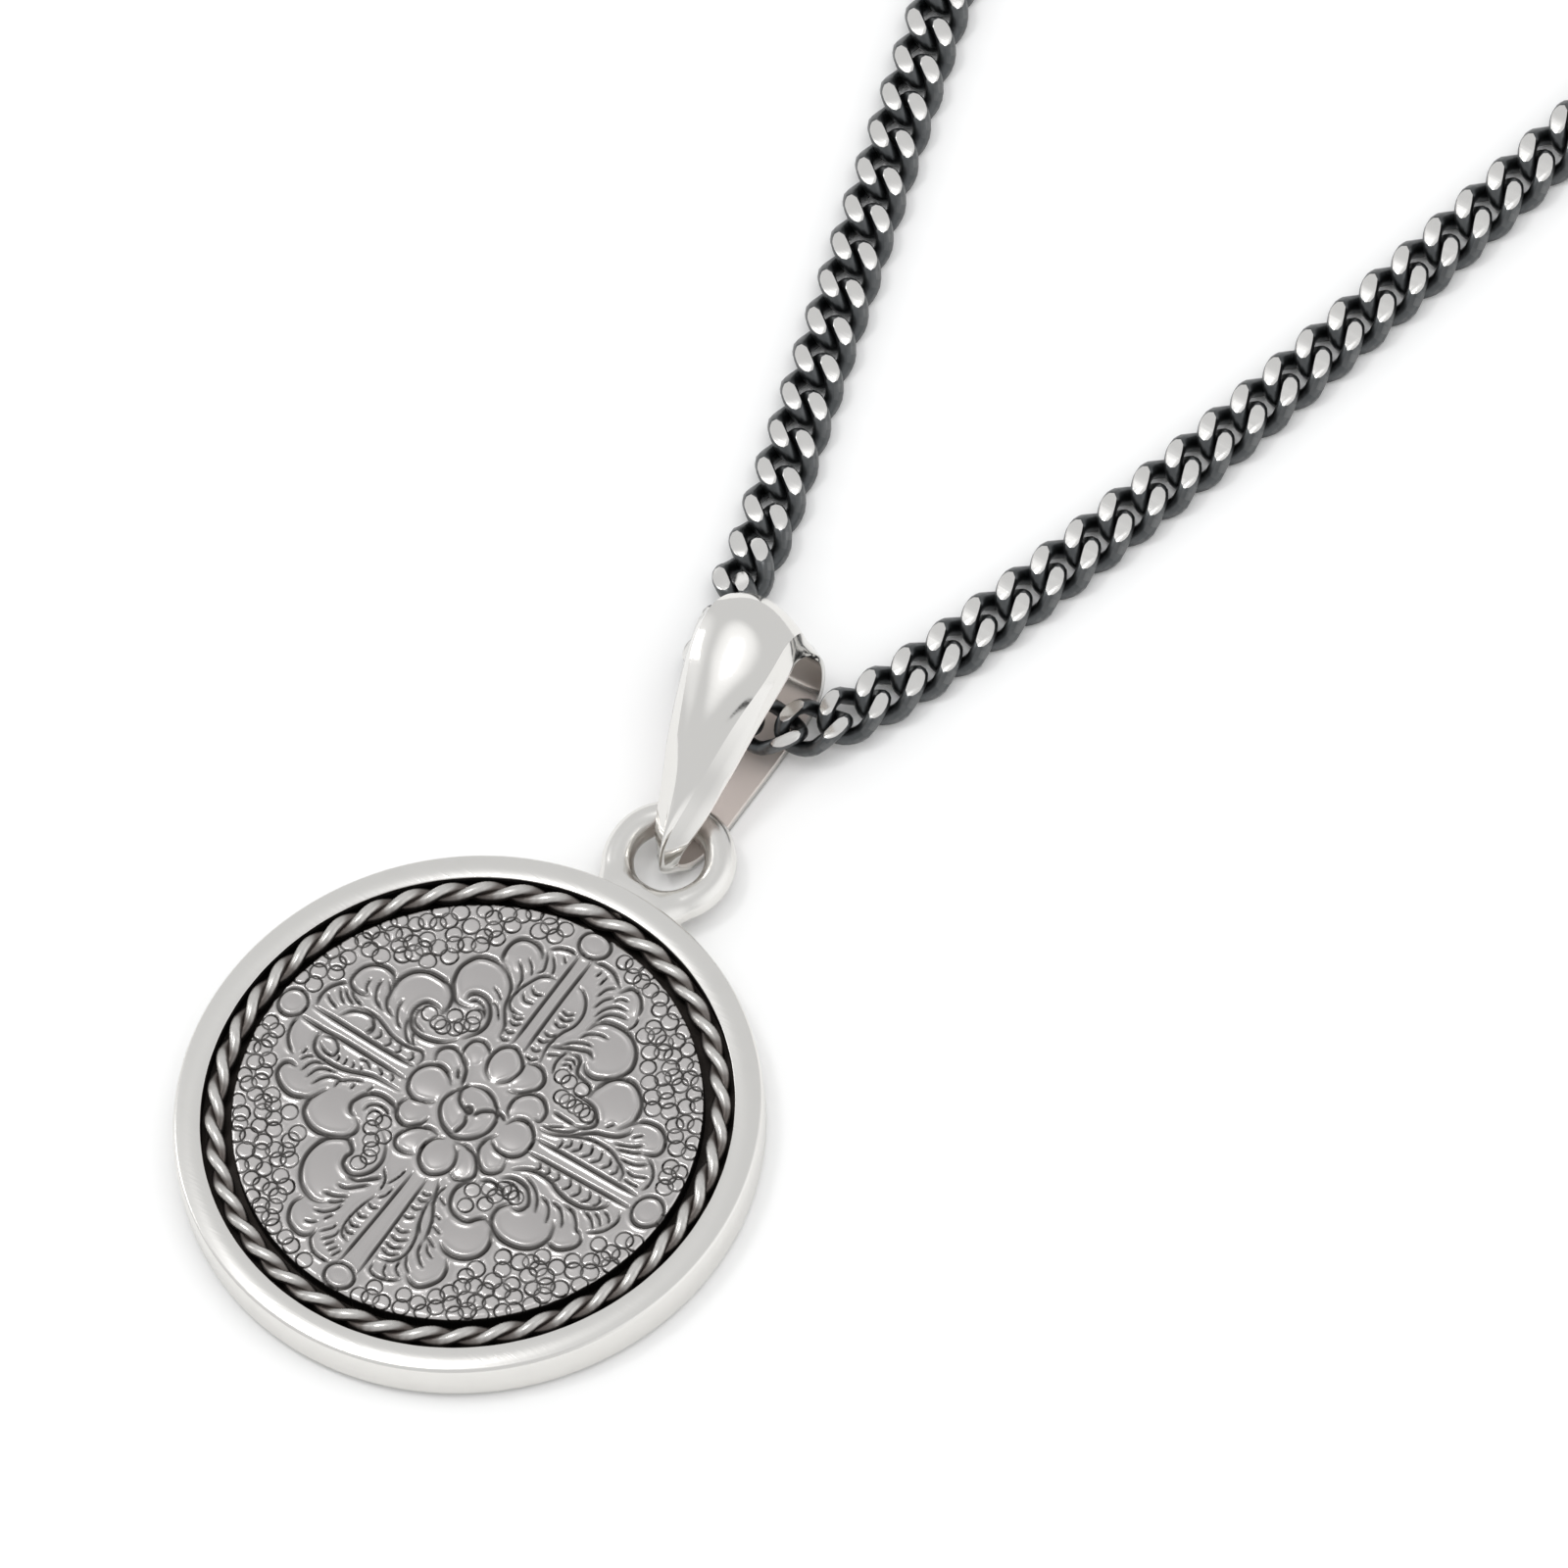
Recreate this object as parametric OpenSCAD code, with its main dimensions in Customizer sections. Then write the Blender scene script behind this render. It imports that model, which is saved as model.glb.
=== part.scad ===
// Coin pendant in a polished rim, with its bail and curb chain. Millimetres.
// It lies on its back: Z = 0 is the surface, +Y points from the coin to the bail.

/* [Bezel] */
// Outer radius of the polished rim
rim_r = 10; // [9:0.1:12]
// Radial width of the rim's wall
rim_w = 0.96; // [0.7:0.02:1.3]
// Height of the rim at its crown
rim_h = 1.8; // [1.6:0.05:2.2]
// Radius of the dome across the rim's top face
rim_dome_r = 1.5; // [1:0.1:3]
// Rounding of the rim's outer lower edge
rim_foot_r = 0.35; // [0.1:0.05:0.6]
// Thickness of the back plate, on which the coin and the twisted wire lie
back_t = 1.15; // [1:0.05:1.2]

/* [Jump ring] */
// Diameter of the jump ring's wire
ring_wire = 1.1; // [0.9:0.05:1.3]
// Diameter of the jump ring's hole
ring_hole = 2.4; // [2.2:0.1:3]
// Depth to which the jump ring is soldered into the rim
ring_bite = 0.45; // [0.3:0.05:0.6]
// Angle from the coin's upper bar round to the jump ring
ring_turn = 1.4; // [0:0.1:3]

/* [Rope ring] */
// Diameter across both strands of the twisted wire
rope_d = 0.8; // [0.74:0.02:0.86]
// Number of full turns of the twist round the ring
rope_turns = 21; // [16:1:26]
// Clearance between the twisted wire and the rim
rope_clear = 0.07; // [0.05:0.01:0.12]
// Clearance between the twisted wire and the coin
coin_clear = 0.17; // [0.08:0.01:0.2]

/* [Coin] */
// Height of the coin's field over the rim's inner edge
coin_proud = 0.05; // [0:0.05:0.2]
// Height of the raised ornament
relief_h = 0.12; // [0.05:0.01:0.2]
// Outer radius of the rosette's centre button
button_r = 0.95; // [0.7:0.05:1.2]
// Width of the button's rim
line_w = 0.16; // [0.1:0.01:0.25]
// Number of petals round the button
petal_count = 12; // [8:1:14]
// Radius of a petal
petal_r = 0.54; // [0.3:0.02:0.6]
// Width of the four bars
bar_w = 0.42; // [0.3:0.02:0.6]
// Radius of the bead at the end of each bar
bead_r = 0.36; // [0.2:0.02:0.4]
// Radius of the large lobes
lobe_r = 0.82; // [0.5:0.02:0.95]
// Radius of the small lobes beside the bars
leaf_r = 0.5; // [0.3:0.02:0.6]
// Width of the curled tails of the lobes
tail_w = 0.3; // [0.15:0.01:0.4]

/* [Bail] */
// Length of the bail from the jump ring's wire to the outside of its fold
bail_len = 7.3; // [6.8:0.1:8]
// Height of the bail over the surface
bail_h = 5.15; // [4.8:0.05:6]
// Width of the bail at its fold
bail_w = 4.05; // [3.6:0.05:4.4]
// Greatest thickness of the bail's domed front
bail_t = 0.95; // [0.8:0.05:1.1]
// Thickness of the bail's strip below the jump ring
strip_t = 0.36; // [0.3:0.02:0.4]
// Slack between the bail's foot and the jump ring's wire
foot_slack = 1; // [0.2:0.05:1.1]
// Angle by which the bail leans left of the line through the jump ring
bail_lean = 6.6; // [0:0.1:10]
// Angle by which the bail rolls to the left as it rises
bail_roll = 6; // [0:1:10]
// Angle by which the bail's fold is skewed, its left end higher
bail_skew = 4; // [0:1:8]

/* [Chain] */
// Distance from one link to the next
link_pitch = 1.513; // [1.45:0.001:1.6]
// Length of a link between the centres of its wire
link_len = 2.26; // [2.15:0.01:2.35]
// Width of a link between the centres of its wire
link_w = 1.6; // [1.5:0.01:1.7]
// Diameter of the link's wire
link_wire = 0.6; // [0.5:0.01:0.62]
// Angle of the link's twist from its middle to each end
link_twist = 52; // [40:1:65]
// Thickness of the chain between its flattened faces
chain_t = 1; // [0.9:0.02:1.3]
// Number of separate links on the left arm, from the bail on
links_left = 22; // [6:1:30]
// Number of separate links on the right arm, from the bail on
links_right = 28; // [6:1:32]

/* [Clasp] */
// Length of the clasp's barrel
barrel_len = 8; // [6:0.5:12]
// Diameter of the clasp's barrel
barrel_d = 3.4; // [2.6:0.1:4.5]
// Rounding of the barrel's ends
barrel_edge = 0.6; // [0.2:0.1:1]
// Diameter of the wire of the clasp's end eyes
eye_wire = 0.8; // [0.6:0.05:1]
// Diameter of the hole in each end eye
eye_hole = 1.2; // [1:0.1:2]

/* [Hidden] */
$fn = 48;

silver = [0.93, 0.92, 0.90];
coin_silver = [0.56, 0.54, 0.53];
dark_silver = [0.35, 0.35, 0.35];

// Gap between pieces that lie on each other
gap = 0.03;
// Gap between the bail's strip and the jump ring's wire above it
strip_gap = 0.09;
// Gap between two pieces that meet end to end
end_gap = 0.2;

rim_in_r = rim_r - rim_w;
rope_r = rim_in_r - rope_clear - rope_d / 2;
coin_r = rope_r - rope_d / 2 - coin_clear;
ring_r = (ring_hole + ring_wire) / 2;
ring_y = rim_r - ring_bite + ring_r + ring_wire / 2;
ring_z = strip_t + strip_gap + ring_wire / 2;

// Value at a share t of the way from b to c, on a smooth curve through a, b, c and d
function curve(a, b, c, d, t) =
    (2 * b + (c - a) * t + (2 * a - 5 * b + 4 * c - d) * t * t
        + (3 * b - a - 3 * c + d) * t * t * t) / 2;
// A closed list of rows, with steps values on the curve for each row
function closed_curve(rows, steps) = let (n = len(rows)) [
    for (i = [0:n - 1], k = [0:steps - 1])
        curve(rows[(i + n - 1) % n], rows[i], rows[(i + 1) % n], rows[(i + 2) % n], k / steps)
];
function unit(v) = v / norm(v);

// Triangles of a wall through rings of m points, closed on itself when loop is true
function wall(n, m, loop) = [
    for (i = [0:(loop ? n : n - 1) - 1], j = [0:m - 1])
        let (a = i * m + j, b = i * m + (j + 1) % m,
             c = (i + 1) % n * m + (j + 1) % m, d = (i + 1) % n * m + j)
        each [[a, c, b], [a, d, c]]
];
// Closed ring-shaped body through rings of points
module loop_body(rings) {
    n = len(rings);
    m = len(rings[0]);
    polyhedron([for (r = rings) each r], wall(n, m, true));
}
// Rod with flat ends through rings of points
module rod_body(rings) {
    n = len(rings);
    m = len(rings[0]);
    polyhedron([for (r = rings) each r], concat(
        wall(n, m, false),
        [[for (j = [0:m - 1]) j], [for (j = [m - 1:-1:0]) (n - 1) * m + j]]));
}

// Solid of revolution of a round wire
module torus(r, wire) {
    rotate_extrude() translate([r, 0]) circle(d = wire);
}

// Crown of the rim's dome, nearer the inner edge, so that the outer edge lies lower
dome_x = rim_in_r + 0.35 * rim_w;
// Height of the rim's inner edge, where the coin's field is seen against it
rim_edge_z = rim_h - rim_dome_r + sqrt(rim_dome_r * rim_dome_r - pow(dome_x - rim_in_r, 2));

// Section of the rim: straight inner wall, domed top and rounded outer foot
module rim_section() {
    difference() {
        intersection() {
            translate([rim_in_r, 0]) square([rim_w, rim_h]);
            translate([dome_x, rim_h - rim_dome_r]) union() {
                circle(rim_dome_r, $fn = 96);
                translate([-rim_r, -rim_h]) square([2 * rim_r, rim_h]);
            }
        }
        translate([rim_r - rim_foot_r, 0]) difference() {
            square(rim_foot_r);
            translate([0, rim_foot_r]) circle(rim_foot_r);
        }
    }
}

// Rim, back plate and the jump ring soldered to the rim
module bezel() {
    color(silver) union() {
        rotate_extrude($fn = 96) union() {
            rim_section();
            square([rim_in_r + rim_w / 2, back_t]);
        }
        rotate(ring_turn) translate([0, ring_y, ring_z]) torus(ring_r, ring_wire);
    }
}

field_z = rim_edge_z + coin_proud;
// Shares of the coin's radius: from its centre to each part of the ornament
petal_at = 0.268;
bar_from = 0.36;
bar_to = 0.87;
bead_at = 0.94;
lobe_at = 0.62;
leaf_at = 0.8;
// Angles of the lobes and leaves to the middle of their quadrant
lobe_turn = 10.5;
leaf_turn = 24;
// Arc of the curled tails
tail_arc = 150;

// A piece of raised work, standing on the coin's field and sunk a little into it
module raised() {
    translate([0, 0, field_z - relief_h]) linear_extrude(2 * relief_h) children();
}
// A lobe with a tail that curls back to the quadrant's middle, side is 1 or -1
module lobe(at, turn, r, side) {
    rotate(45 + side * turn) translate([at * coin_r, 0]) {
        raised() circle(r);
        translate([-r - tail_w, -side * r / 2, field_z - relief_h])
            rotate(side > 0 ? -90 : 90 - tail_arc)
                rotate_extrude(angle = tail_arc)
                    translate([r - tail_w / 2, 0]) square([tail_w, 2 * relief_h]);
    }
}

// Coin with its raised rosette, four bars and scrolling lobes
module coin() {
    color(coin_silver) union() {
        translate([0, 0, back_t + gap]) cylinder(r = coin_r, h = field_z - back_t - gap, $fn = 96);
        raised() difference() {
            circle(button_r);
            circle(button_r - line_w);
        }
        for (i = [0:2]) rotate(120 * i)
            translate([button_r * 0.42, 0]) raised() circle(button_r * 0.26);
        for (i = [1:petal_count]) rotate(360 * i / petal_count)
            translate([petal_at * coin_r, 0]) raised() circle(petal_r);
        for (q = [0:3]) rotate(90 * q) {
            translate([bar_from * coin_r, -bar_w / 2])
                raised() square([(bar_to - bar_from) * coin_r, bar_w]);
            translate([bead_at * coin_r, 0]) raised() circle(bead_r);
            for (side = [-1, 1]) {
                lobe(lobe_at, lobe_turn, lobe_r, side);
                lobe(leaf_at, leaf_turn, leaf_r, side);
            }
        }
    }
}

rope_z = back_t + gap + rope_d / 2;
// Points of the rope's section, and rings in one full turn of its twist: equal, so that the
// strands' crests run through the points
rope_sides = 8;
// Depth of the waist between the two strands, as a share of the rope's radius
rope_waist = 0.3;
// Section of two fused strands, turned by a
function rope_section(a) = [
    for (j = [0:rope_sides - 1])
        let (t = -360 * j / rope_sides, r = rope_d / 2 * (1 - rope_waist * pow(sin(t - a), 2)))
        r * [cos(t), sin(t)]
];

// Twisted wire bent to a closed ring
module rope_ring() {
    n = rope_turns * rope_sides;
    color(dark_silver) loop_body([
        for (i = [0:n - 1])
            let (around = 360 * i / n)
            [for (p = rope_section(around * rope_turns))
                let (r = rope_r + p[0]) [r * cos(around), r * sin(around), rope_z + p[1]]]
    ]);
}

// Reach of the bail's foot past the centre of the jump ring's wire
foot_reach = ring_wire / 2 + foot_slack + 0.65 * bail_t;
// Sections of the bail, up its front, over the fold and back along the surface
// [along: share of the way from foot to fold, height: share of bail_h, thickness: share of
//  bail_t, width: share of bail_w, dome: 1 on the front and 0 on the strip,
//  flank: share of bail_w taken by each sloping side]
BAIL = [
    [0.00, 0.17, 0.60, 0.20, 1, 0.06],
    [0.05, 0.39, 0.75, 0.30, 1, 0.13],
    [0.22, 0.57, 0.85, 0.51, 1, 0.155],
    [0.34, 0.71, 0.92, 0.65, 1, 0.15],
    [0.50, 0.86, 0.97, 0.78, 1, 0.125],
    [0.67, 0.97, 1.00, 0.90, 1, 0.09],
    [0.82, 0.99, 1.00, 0.97, 1, 0.085],
    [0.945, 0.83, 0.92, 0.98, 1, 0.12],
    [1.00, 0.58, 0.80, 0.94, 0.9, 0.12],
    [0.99, 0.32, 0.62, 0.86, 0.7, 0.09],
    [0.93, 0.10, 0.48, 0.78, 0.4, 0.06],
    [0.82, 0.01, 0.40, 0.72, 0.1, 0.05],
    [0.61, 0.00, 0.38, 0.63, 0, 0.05],
    [0.41, 0.00, 0.38, 0.53, 0, 0.05],
    [0.23, 0.00, strip_t / bail_t, 0.43, 0, 0.05],
    [0.09, 0.02, 0.45, 0.28, 0.3, 0.05]
];
bail_steps = 3;
// The bail's section across its width: [half of the width: share, flank: share of it taken off,
//  share of the thickness when domed]
BAIL_EDGE = [
    [-1, 0, 0], [-1, 0, 0.15], [-1, 1, 0.78], [-0.5, 1, 0.95], [0, 1, 1],
    [0.5, 1, 0.95], [1, 1, 0.78], [1, 0, 0.15], [1, 0, 0]
];
bail_rows = closed_curve(BAIL, bail_steps);
bail_line = [for (row = bail_rows)
    [row[0] * (bail_len + foot_reach) - foot_reach, max(row[1], 0) * bail_h]];
// Direction from the bail's outer face inwards, in the plane of its side view
function bail_in(i) = let (
    n = len(bail_line), d = unit(bail_line[(i + 1) % n] - bail_line[(i + n - 1) % n]))
    [d[1], -d[0]];

// Tapered sheet loop with a domed front, through the jump ring
module bail() {
    color(silver)
    rotate(ring_turn) translate([0, ring_y, 0]) rotate(bail_lean) translate([0, ring_r, 0])
        multmatrix([[1, 0, -tan(bail_roll), 0], [-tan(bail_skew), 1, 0, 0], [0, 0, 1, 0]])
            loop_body([
                for (i = [0:len(bail_rows) - 1])
                    let (row = bail_rows[i], spot = bail_line[i], inward = bail_in(i))
                    [for (e = BAIL_EDGE)
                        let (rise = e[2] * row[4] + (e[2] > 0 ? 1 - row[4] : 0),
                             p = spot + (1 - rise) * row[2] * bail_t * inward)
                        [e[0] * (row[3] / 2 - e[1] * row[5]) * bail_w, p[0], max(p[1], 0)]]
            ]);
}

// Chosen points of the chain's closed route, from the bail along the right arm and back down
// the left arm: [x, y, lift over the height at which the chain rests, bank: angle by which
// the side on the inside of the loop is raised]
ROUTE = [
    [-1.94, 17.68, 0.75, 18], [-1.46, 17.67, 0.68, 11], [-0.64, 17.8, 0.68, 9.5],
    [0.13, 18.32, 0.5, 5], [0.77, 18.89, 0.45, 0], [1.25, 19.69, 0.29, 0], [1.87, 21.3, 0.12, 0],
    [2.4, 23, 0.02, 0], [3.5, 26.9, 0, 0],
    [4.5, 30.9, 0, 0], [5.7, 36.3, 0, 0], [7.25, 44.4, 0, 0], [9.4, 57, 0, 0], [12.1, 74, 0, 0],
    [14.8, 95, 0, 0], [16.8, 118, 0, 0], [18, 140, 0, 0], [18.4, 160, 0, 0], [17.4, 178, 0, 0],
    [11.8, 195.5, 0, 0], [-0.8, 208.6, 0, 0], [-18, 214, 0, 0], [-36, 210.4, 0, 0],
    [-50, 199.4, 0, 0], [-56.6, 183, 0, 0], [-55.2, 164.6, 0, 0], [-49, 145.6, 0, 0],
    [-41.2, 124, 0, 0], [-33.2, 101.8, 0, 0], [-26.4, 83, 0, 0], [-20.4, 66.4, 0, 0],
    [-15.4, 52.4, 0, 0], [-12.2, 43.4, 0, 0], [-9.7, 36.4, 0, 0], [-7.2, 29.4, 0, 0],
    [-5.95, 25.9, 0, 0], [-5.25, 23.9, 0.05, 8], [-4.92, 22.6, 0.19, 15], [-4.33, 21.09, 0.38, 34.6],
    [-4.1, 20.48, 0.56, 42], [-4.02, 19.4, 0.55, 47.5], [-3.58, 18.69, 0.68, 41],
    [-2.96, 18.13, 0.71, 31]
];
route_steps = 12;
route_line = closed_curve(ROUTE, route_steps);
route_n = len(route_line);
route_runs = [for (i = 0, s = 0; i <= route_n;
    s = s + norm([for (k = [0:2])
        route_line[(i + 1) % route_n][k] - route_line[i % route_n][k]]), i = i + 1) s];
route_len = route_runs[route_n];
route_part = [for (k = [0:3]) [for (i = [0:route_n]) [route_runs[i], route_line[i % route_n][k]]]];
// Part k of the route's rows at the distance s from its first point, in either direction
function route_at(s, k) = lookup((s + route_len) % route_len, route_part[k]);
function on_route(s) = [route_at(s, 0), route_at(s, 1), route_at(s, 2) + chain_t / 2];
// Distance over which the route's direction is taken
aim = link_pitch / 2;
function route_aim(s) = unit(on_route(s + aim) - on_route(s - aim));
// A point given as [along, to the left, up] of the banked route at s, not below the surface
function from_route(s, p) = let (
    t = route_aim(s), n = unit(cross([0, 0, 1], t)), bank = route_at(s, 3),
    q = on_route(s) + p[0] * t + (p[1] * cos(bank) - p[2] * sin(bank)) * n
        + (p[1] * sin(bank) + p[2] * cos(bank)) * cross(t, n))
    [q[0], q[1], max(q[2], 0)];

// Points along a link, and sides of its wire
link_points = 12;
link_sides = 6;
// Fullness of the link's outline: 1 is an ellipse, less is squarer
link_full = 0.75;
// Growth of the twist from the link's middle: 1 is even
link_ease = 0.9;
// Loss of the wire's diameter for each degree turned from link to link
wire_loss = 0.008;
// Diameter of the wire of the link at s, less where the route turns
function wire_at(s) = link_wire
    - wire_loss * acos(min(1, route_aim(s - link_pitch) * route_aim(s + link_pitch))) / 2;
function bent(v, power) = sign(v) * pow(abs(v), power);
function link_turn(x) = -link_twist * bent(2 * x / link_len, link_ease);
function link_spot(t) = let (
    x = link_len / 2 * bent(cos(t), link_full), y = link_w / 2 * bent(sin(t), link_full))
    [x, y * cos(link_turn(x)), y * sin(link_turn(x))];
// Rings of points round a link's wire, with the flats of the chain's two faces
function link_rings(wire) = [
    for (i = [0:link_points - 1])
        let (t = 360 * (i + 0.5) / link_points, c = link_spot(t),
             ahead = unit(link_spot(t + 3) - link_spot(t - 3)),
             flat = [0, -sin(link_turn(c[0])), cos(link_turn(c[0]))],
             out = unit(cross(ahead, flat)), up = cross(out, ahead))
        [for (j = [0:link_sides - 1])
            let (a = -360 * j / link_sides,
                 p = c + wire / 2 * (cos(a) * out + sin(a) * up))
            [p[0], p[1], min(max(p[2], -chain_t / 2), chain_t / 2)]]
];

// Interlocked curb links at the front of the chain, through the bail
module chain_front() {
    color(dark_silver)
    for (k = [-links_left:links_right])
        let (s = k * link_pitch)
            loop_body([for (r = link_rings(wire_at(s))) [for (p = r) from_route(s, p)]]);
}

front_end = (links_right + 0.5) * link_pitch + (link_len - link_pitch + link_wire) / 2;
back_end = route_len - (links_left + 0.5) * link_pitch - (link_len - link_pitch + link_wire) / 2;
clasp_s = (front_end + back_end) / 2;
eye_r = (eye_hole + eye_wire) / 2;
clasp_half = barrel_len / 2 + 2 * eye_r;
// Rings of the plain run, and the sides of its oval section
run_rings = 38;
run_sides = 8;
run_w = link_w + link_wire;
function run_ring(s) = [
    for (j = [0:run_sides - 1])
        let (a = 360 * (j + 0.5) / run_sides)
        from_route(s, [0, run_w / 2 * cos(a) / cos(180 / run_sides),
                       chain_t / 2 * sin(a) / cos(180 / run_sides)])
];
module run(from, to) {
    rod_body([for (i = [0:run_rings]) run_ring(from + (to - from) * i / run_rings)]);
}

// Hidden rest of the chain, in two plain runs up to the clasp
module chain_back() {
    color(dark_silver) {
        run(front_end + end_gap, clasp_s - clasp_half - end_gap);
        run(clasp_s + clasp_half + end_gap, back_end - end_gap);
    }
}

// Barrel with an eye at each end
module clasp() {
    at = on_route(clasp_s);
    aim = route_aim(clasp_s);
    color(silver)
    translate([at[0], at[1], barrel_d / 2]) rotate(atan2(aim[1], aim[0])) {
        rotate([0, 90, 0]) rotate_extrude() union() {
            translate([0, -barrel_len / 2 + barrel_edge])
                square([barrel_d / 2, barrel_len - 2 * barrel_edge]);
            translate([0, -barrel_len / 2]) square([barrel_d / 2 - barrel_edge, barrel_len]);
            for (side = [-1, 1])
                translate([barrel_d / 2 - barrel_edge, side * (barrel_len / 2 - barrel_edge)])
                    circle(barrel_edge);
        }
        for (side = [-1, 1])
            translate([side * (barrel_len / 2 + eye_r - eye_wire / 4), 0, 0]) torus(eye_r, eye_wire);
    }
}

bezel();
coin();
rope_ring();
bail();
chain_front();
chain_back();
clasp();
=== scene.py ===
"""Coin pendant necklace, dressed for its photograph: every link of the curb chain, the chased coin,
the twisted wire border, the polished rim with its soldered ring, the bail and the clasp.

Lengths are in millimetres until a mesh is made. The coin lies face up with its centre at the
origin, and +Y runs along its upper bar to the bail.
"""

import math

import bpy
import numpy as np
from mathutils import Matrix, Vector


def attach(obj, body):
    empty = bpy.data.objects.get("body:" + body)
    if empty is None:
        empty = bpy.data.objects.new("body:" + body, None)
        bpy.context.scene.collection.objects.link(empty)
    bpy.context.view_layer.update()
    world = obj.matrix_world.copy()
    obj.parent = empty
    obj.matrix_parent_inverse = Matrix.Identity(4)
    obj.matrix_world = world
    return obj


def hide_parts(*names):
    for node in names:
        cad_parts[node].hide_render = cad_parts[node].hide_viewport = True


MM = 0.001
UP = np.array([0, 0, 1.0])

RIM_R, RIM_IN_R, RIM_H = 10.0, 9.04, 1.8
RIM_DOME_R, RIM_DOME_X = 1.5, 9.376
RIM_FOOT_R, RIM_SHOULDER, RIM_LIP, BACK_T = 0.35, 0.16, 0.05, 1.15
COIN_R, COIN_EDGE, FIELD_Z, COIN_FOOT_Z = 8.0, 0.03, 1.81, 1.18
LINE_DEPTH = 0.07
RING_R, RING_WIRE, RING_Y, RING_Z, RING_TURN = 1.75, 1.1, 11.85, 1.0, 1.4
ROPE_R, ROPE_Z, ROPE_STRAND, ROPE_TURNS = 8.57, 1.58, 0.2, 21
BAIL_LEN, BAIL_H, BAIL_W, BAIL_T = 7.3, 5.15, 4.05, 0.95
FOOT_REACH, BAIL_LEAN, BAIL_ROLL, BAIL_SKEW = 2.1675, 6.6, 6, 4
LINK_PITCH, LINK_LEN, LINK_W, LINK_TWIST, CHAIN_T = 1.513, 2.2, 1.56, 50, 1.0
LINK_WIRE = 0.64
LINKS_LEFT, LINKS_RIGHT = 22, 28
BARREL_LEN, BARREL_D, EYE_R, EYE_WIRE = 8.0, 3.4, 1.0, 0.8

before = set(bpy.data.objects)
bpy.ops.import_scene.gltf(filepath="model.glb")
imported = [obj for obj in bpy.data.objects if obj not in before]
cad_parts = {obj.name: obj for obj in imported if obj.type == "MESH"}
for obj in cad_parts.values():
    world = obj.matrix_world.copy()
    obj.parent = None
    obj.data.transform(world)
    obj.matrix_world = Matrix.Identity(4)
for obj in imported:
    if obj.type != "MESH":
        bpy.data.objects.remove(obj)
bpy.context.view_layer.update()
bpy.ops.object.select_all(action="DESELECT")


# Lines and meshes


def smooth_line(points, steps, closed=False):
    """Points on a smooth curve through the given ones."""
    p = np.asarray(points, float)
    if closed:
        a, b, c, d = (np.roll(p, k, axis=0) for k in (1, 0, -1, -2))
    else:
        q = np.vstack([2 * p[0] - p[1], p, 2 * p[-1] - p[-2]])
        a, b, c, d = q[:-3], q[1:-2], q[2:-1], q[3:]
    t = (np.arange(steps) / steps)[None, :, None]
    a, b, c, d = (v[:, None, :] for v in (a, b, c, d))
    line = 0.5 * (2 * b + (c - a) * t + (2 * a - 5 * b + 4 * c - d) * t**2
                  + (3 * b - a - 3 * c + d) * t**3)
    line = line.reshape(-1, p.shape[1])
    return line if closed else np.vstack([line, p[-1]])


def step(x, low, high):
    """Rises smoothly from 0 at low to 1 at high."""
    t = np.clip((np.asarray(x, float) - low) / (high - low), 0, 1)
    return t * t * (3 - 2 * t)


def unit(v):
    return v / np.linalg.norm(v, axis=-1, keepdims=True)


def circle(count, start=0.0):
    """Angles evenly round a circle."""
    return (np.arange(count) + start) / count * 2 * math.pi


def turn(points, degrees):
    """Points turned about the upright axis through the origin."""
    c, s = math.cos(math.radians(degrees)), math.sin(math.radians(degrees))
    x, y = points[..., 0], points[..., 1]
    return np.stack([c * x - s * y, s * x + c * y, points[..., 2]], -1)


def hoop(name, around, across):
    """A closed ring of that many rings of points with that many points each, still plain."""
    bpy.ops.mesh.primitive_torus_add(major_segments=around, minor_segments=across,
                                     major_radius=2 * MM, minor_radius=0.5 * MM)
    piece = bpy.context.object
    piece.name = piece.data.name = name
    return piece


def place(piece, points):
    """Puts the piece's vertices at these points, given in millimetres."""
    flat = (np.asarray(points, float).reshape(-1, 3) * MM).astype(np.float32)
    piece.data.vertices.foreach_set("co", flat.ravel())
    piece.data.update()


def spots(piece):
    """The piece's vertices in millimetres."""
    co = np.zeros(len(piece.data.vertices) * 3, np.float32)
    piece.data.vertices.foreach_get("co", co)
    return co.reshape(-1, 3).astype(float) / MM


def pick(*pieces):
    """Selects these alone, the first one active."""
    bpy.ops.object.select_all(action="DESELECT")
    for piece in pieces:
        piece.select_set(True)
    bpy.context.view_layer.objects.active = pieces[0]


def edit(piece):
    """Enters edit mode on this piece alone, with all of it selected."""
    pick(piece)
    bpy.ops.object.mode_set(mode="EDIT")
    bpy.ops.mesh.select_all(action="SELECT")


def done():
    bpy.ops.object.mode_set(mode="OBJECT")
    bpy.ops.object.select_all(action="DESELECT")


def face_out(piece):
    edit(piece)
    bpy.ops.mesh.normals_make_consistent(inside=False)
    done()


def spun(name, profile, steps):
    """A solid of revolution from a profile of (radius, height) that starts and ends on the axis."""
    mesh = bpy.data.meshes.new(name)
    mesh.from_pydata([(r * MM, 0, z * MM) for r, z in profile],
                     [(i, i + 1) for i in range(len(profile) - 1)], [])
    piece = bpy.data.objects.new(name, mesh)
    bpy.context.scene.collection.objects.link(piece)
    edit(piece)
    bpy.ops.mesh.spin(steps=steps, angle=2 * math.pi, center=(0, 0, 0), axis=(0, 0, 1))
    bpy.ops.mesh.select_all(action="SELECT")
    bpy.ops.mesh.remove_doubles(threshold=0.002 * MM)
    bpy.ops.mesh.normals_make_consistent(inside=False)
    done()
    return piece


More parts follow.
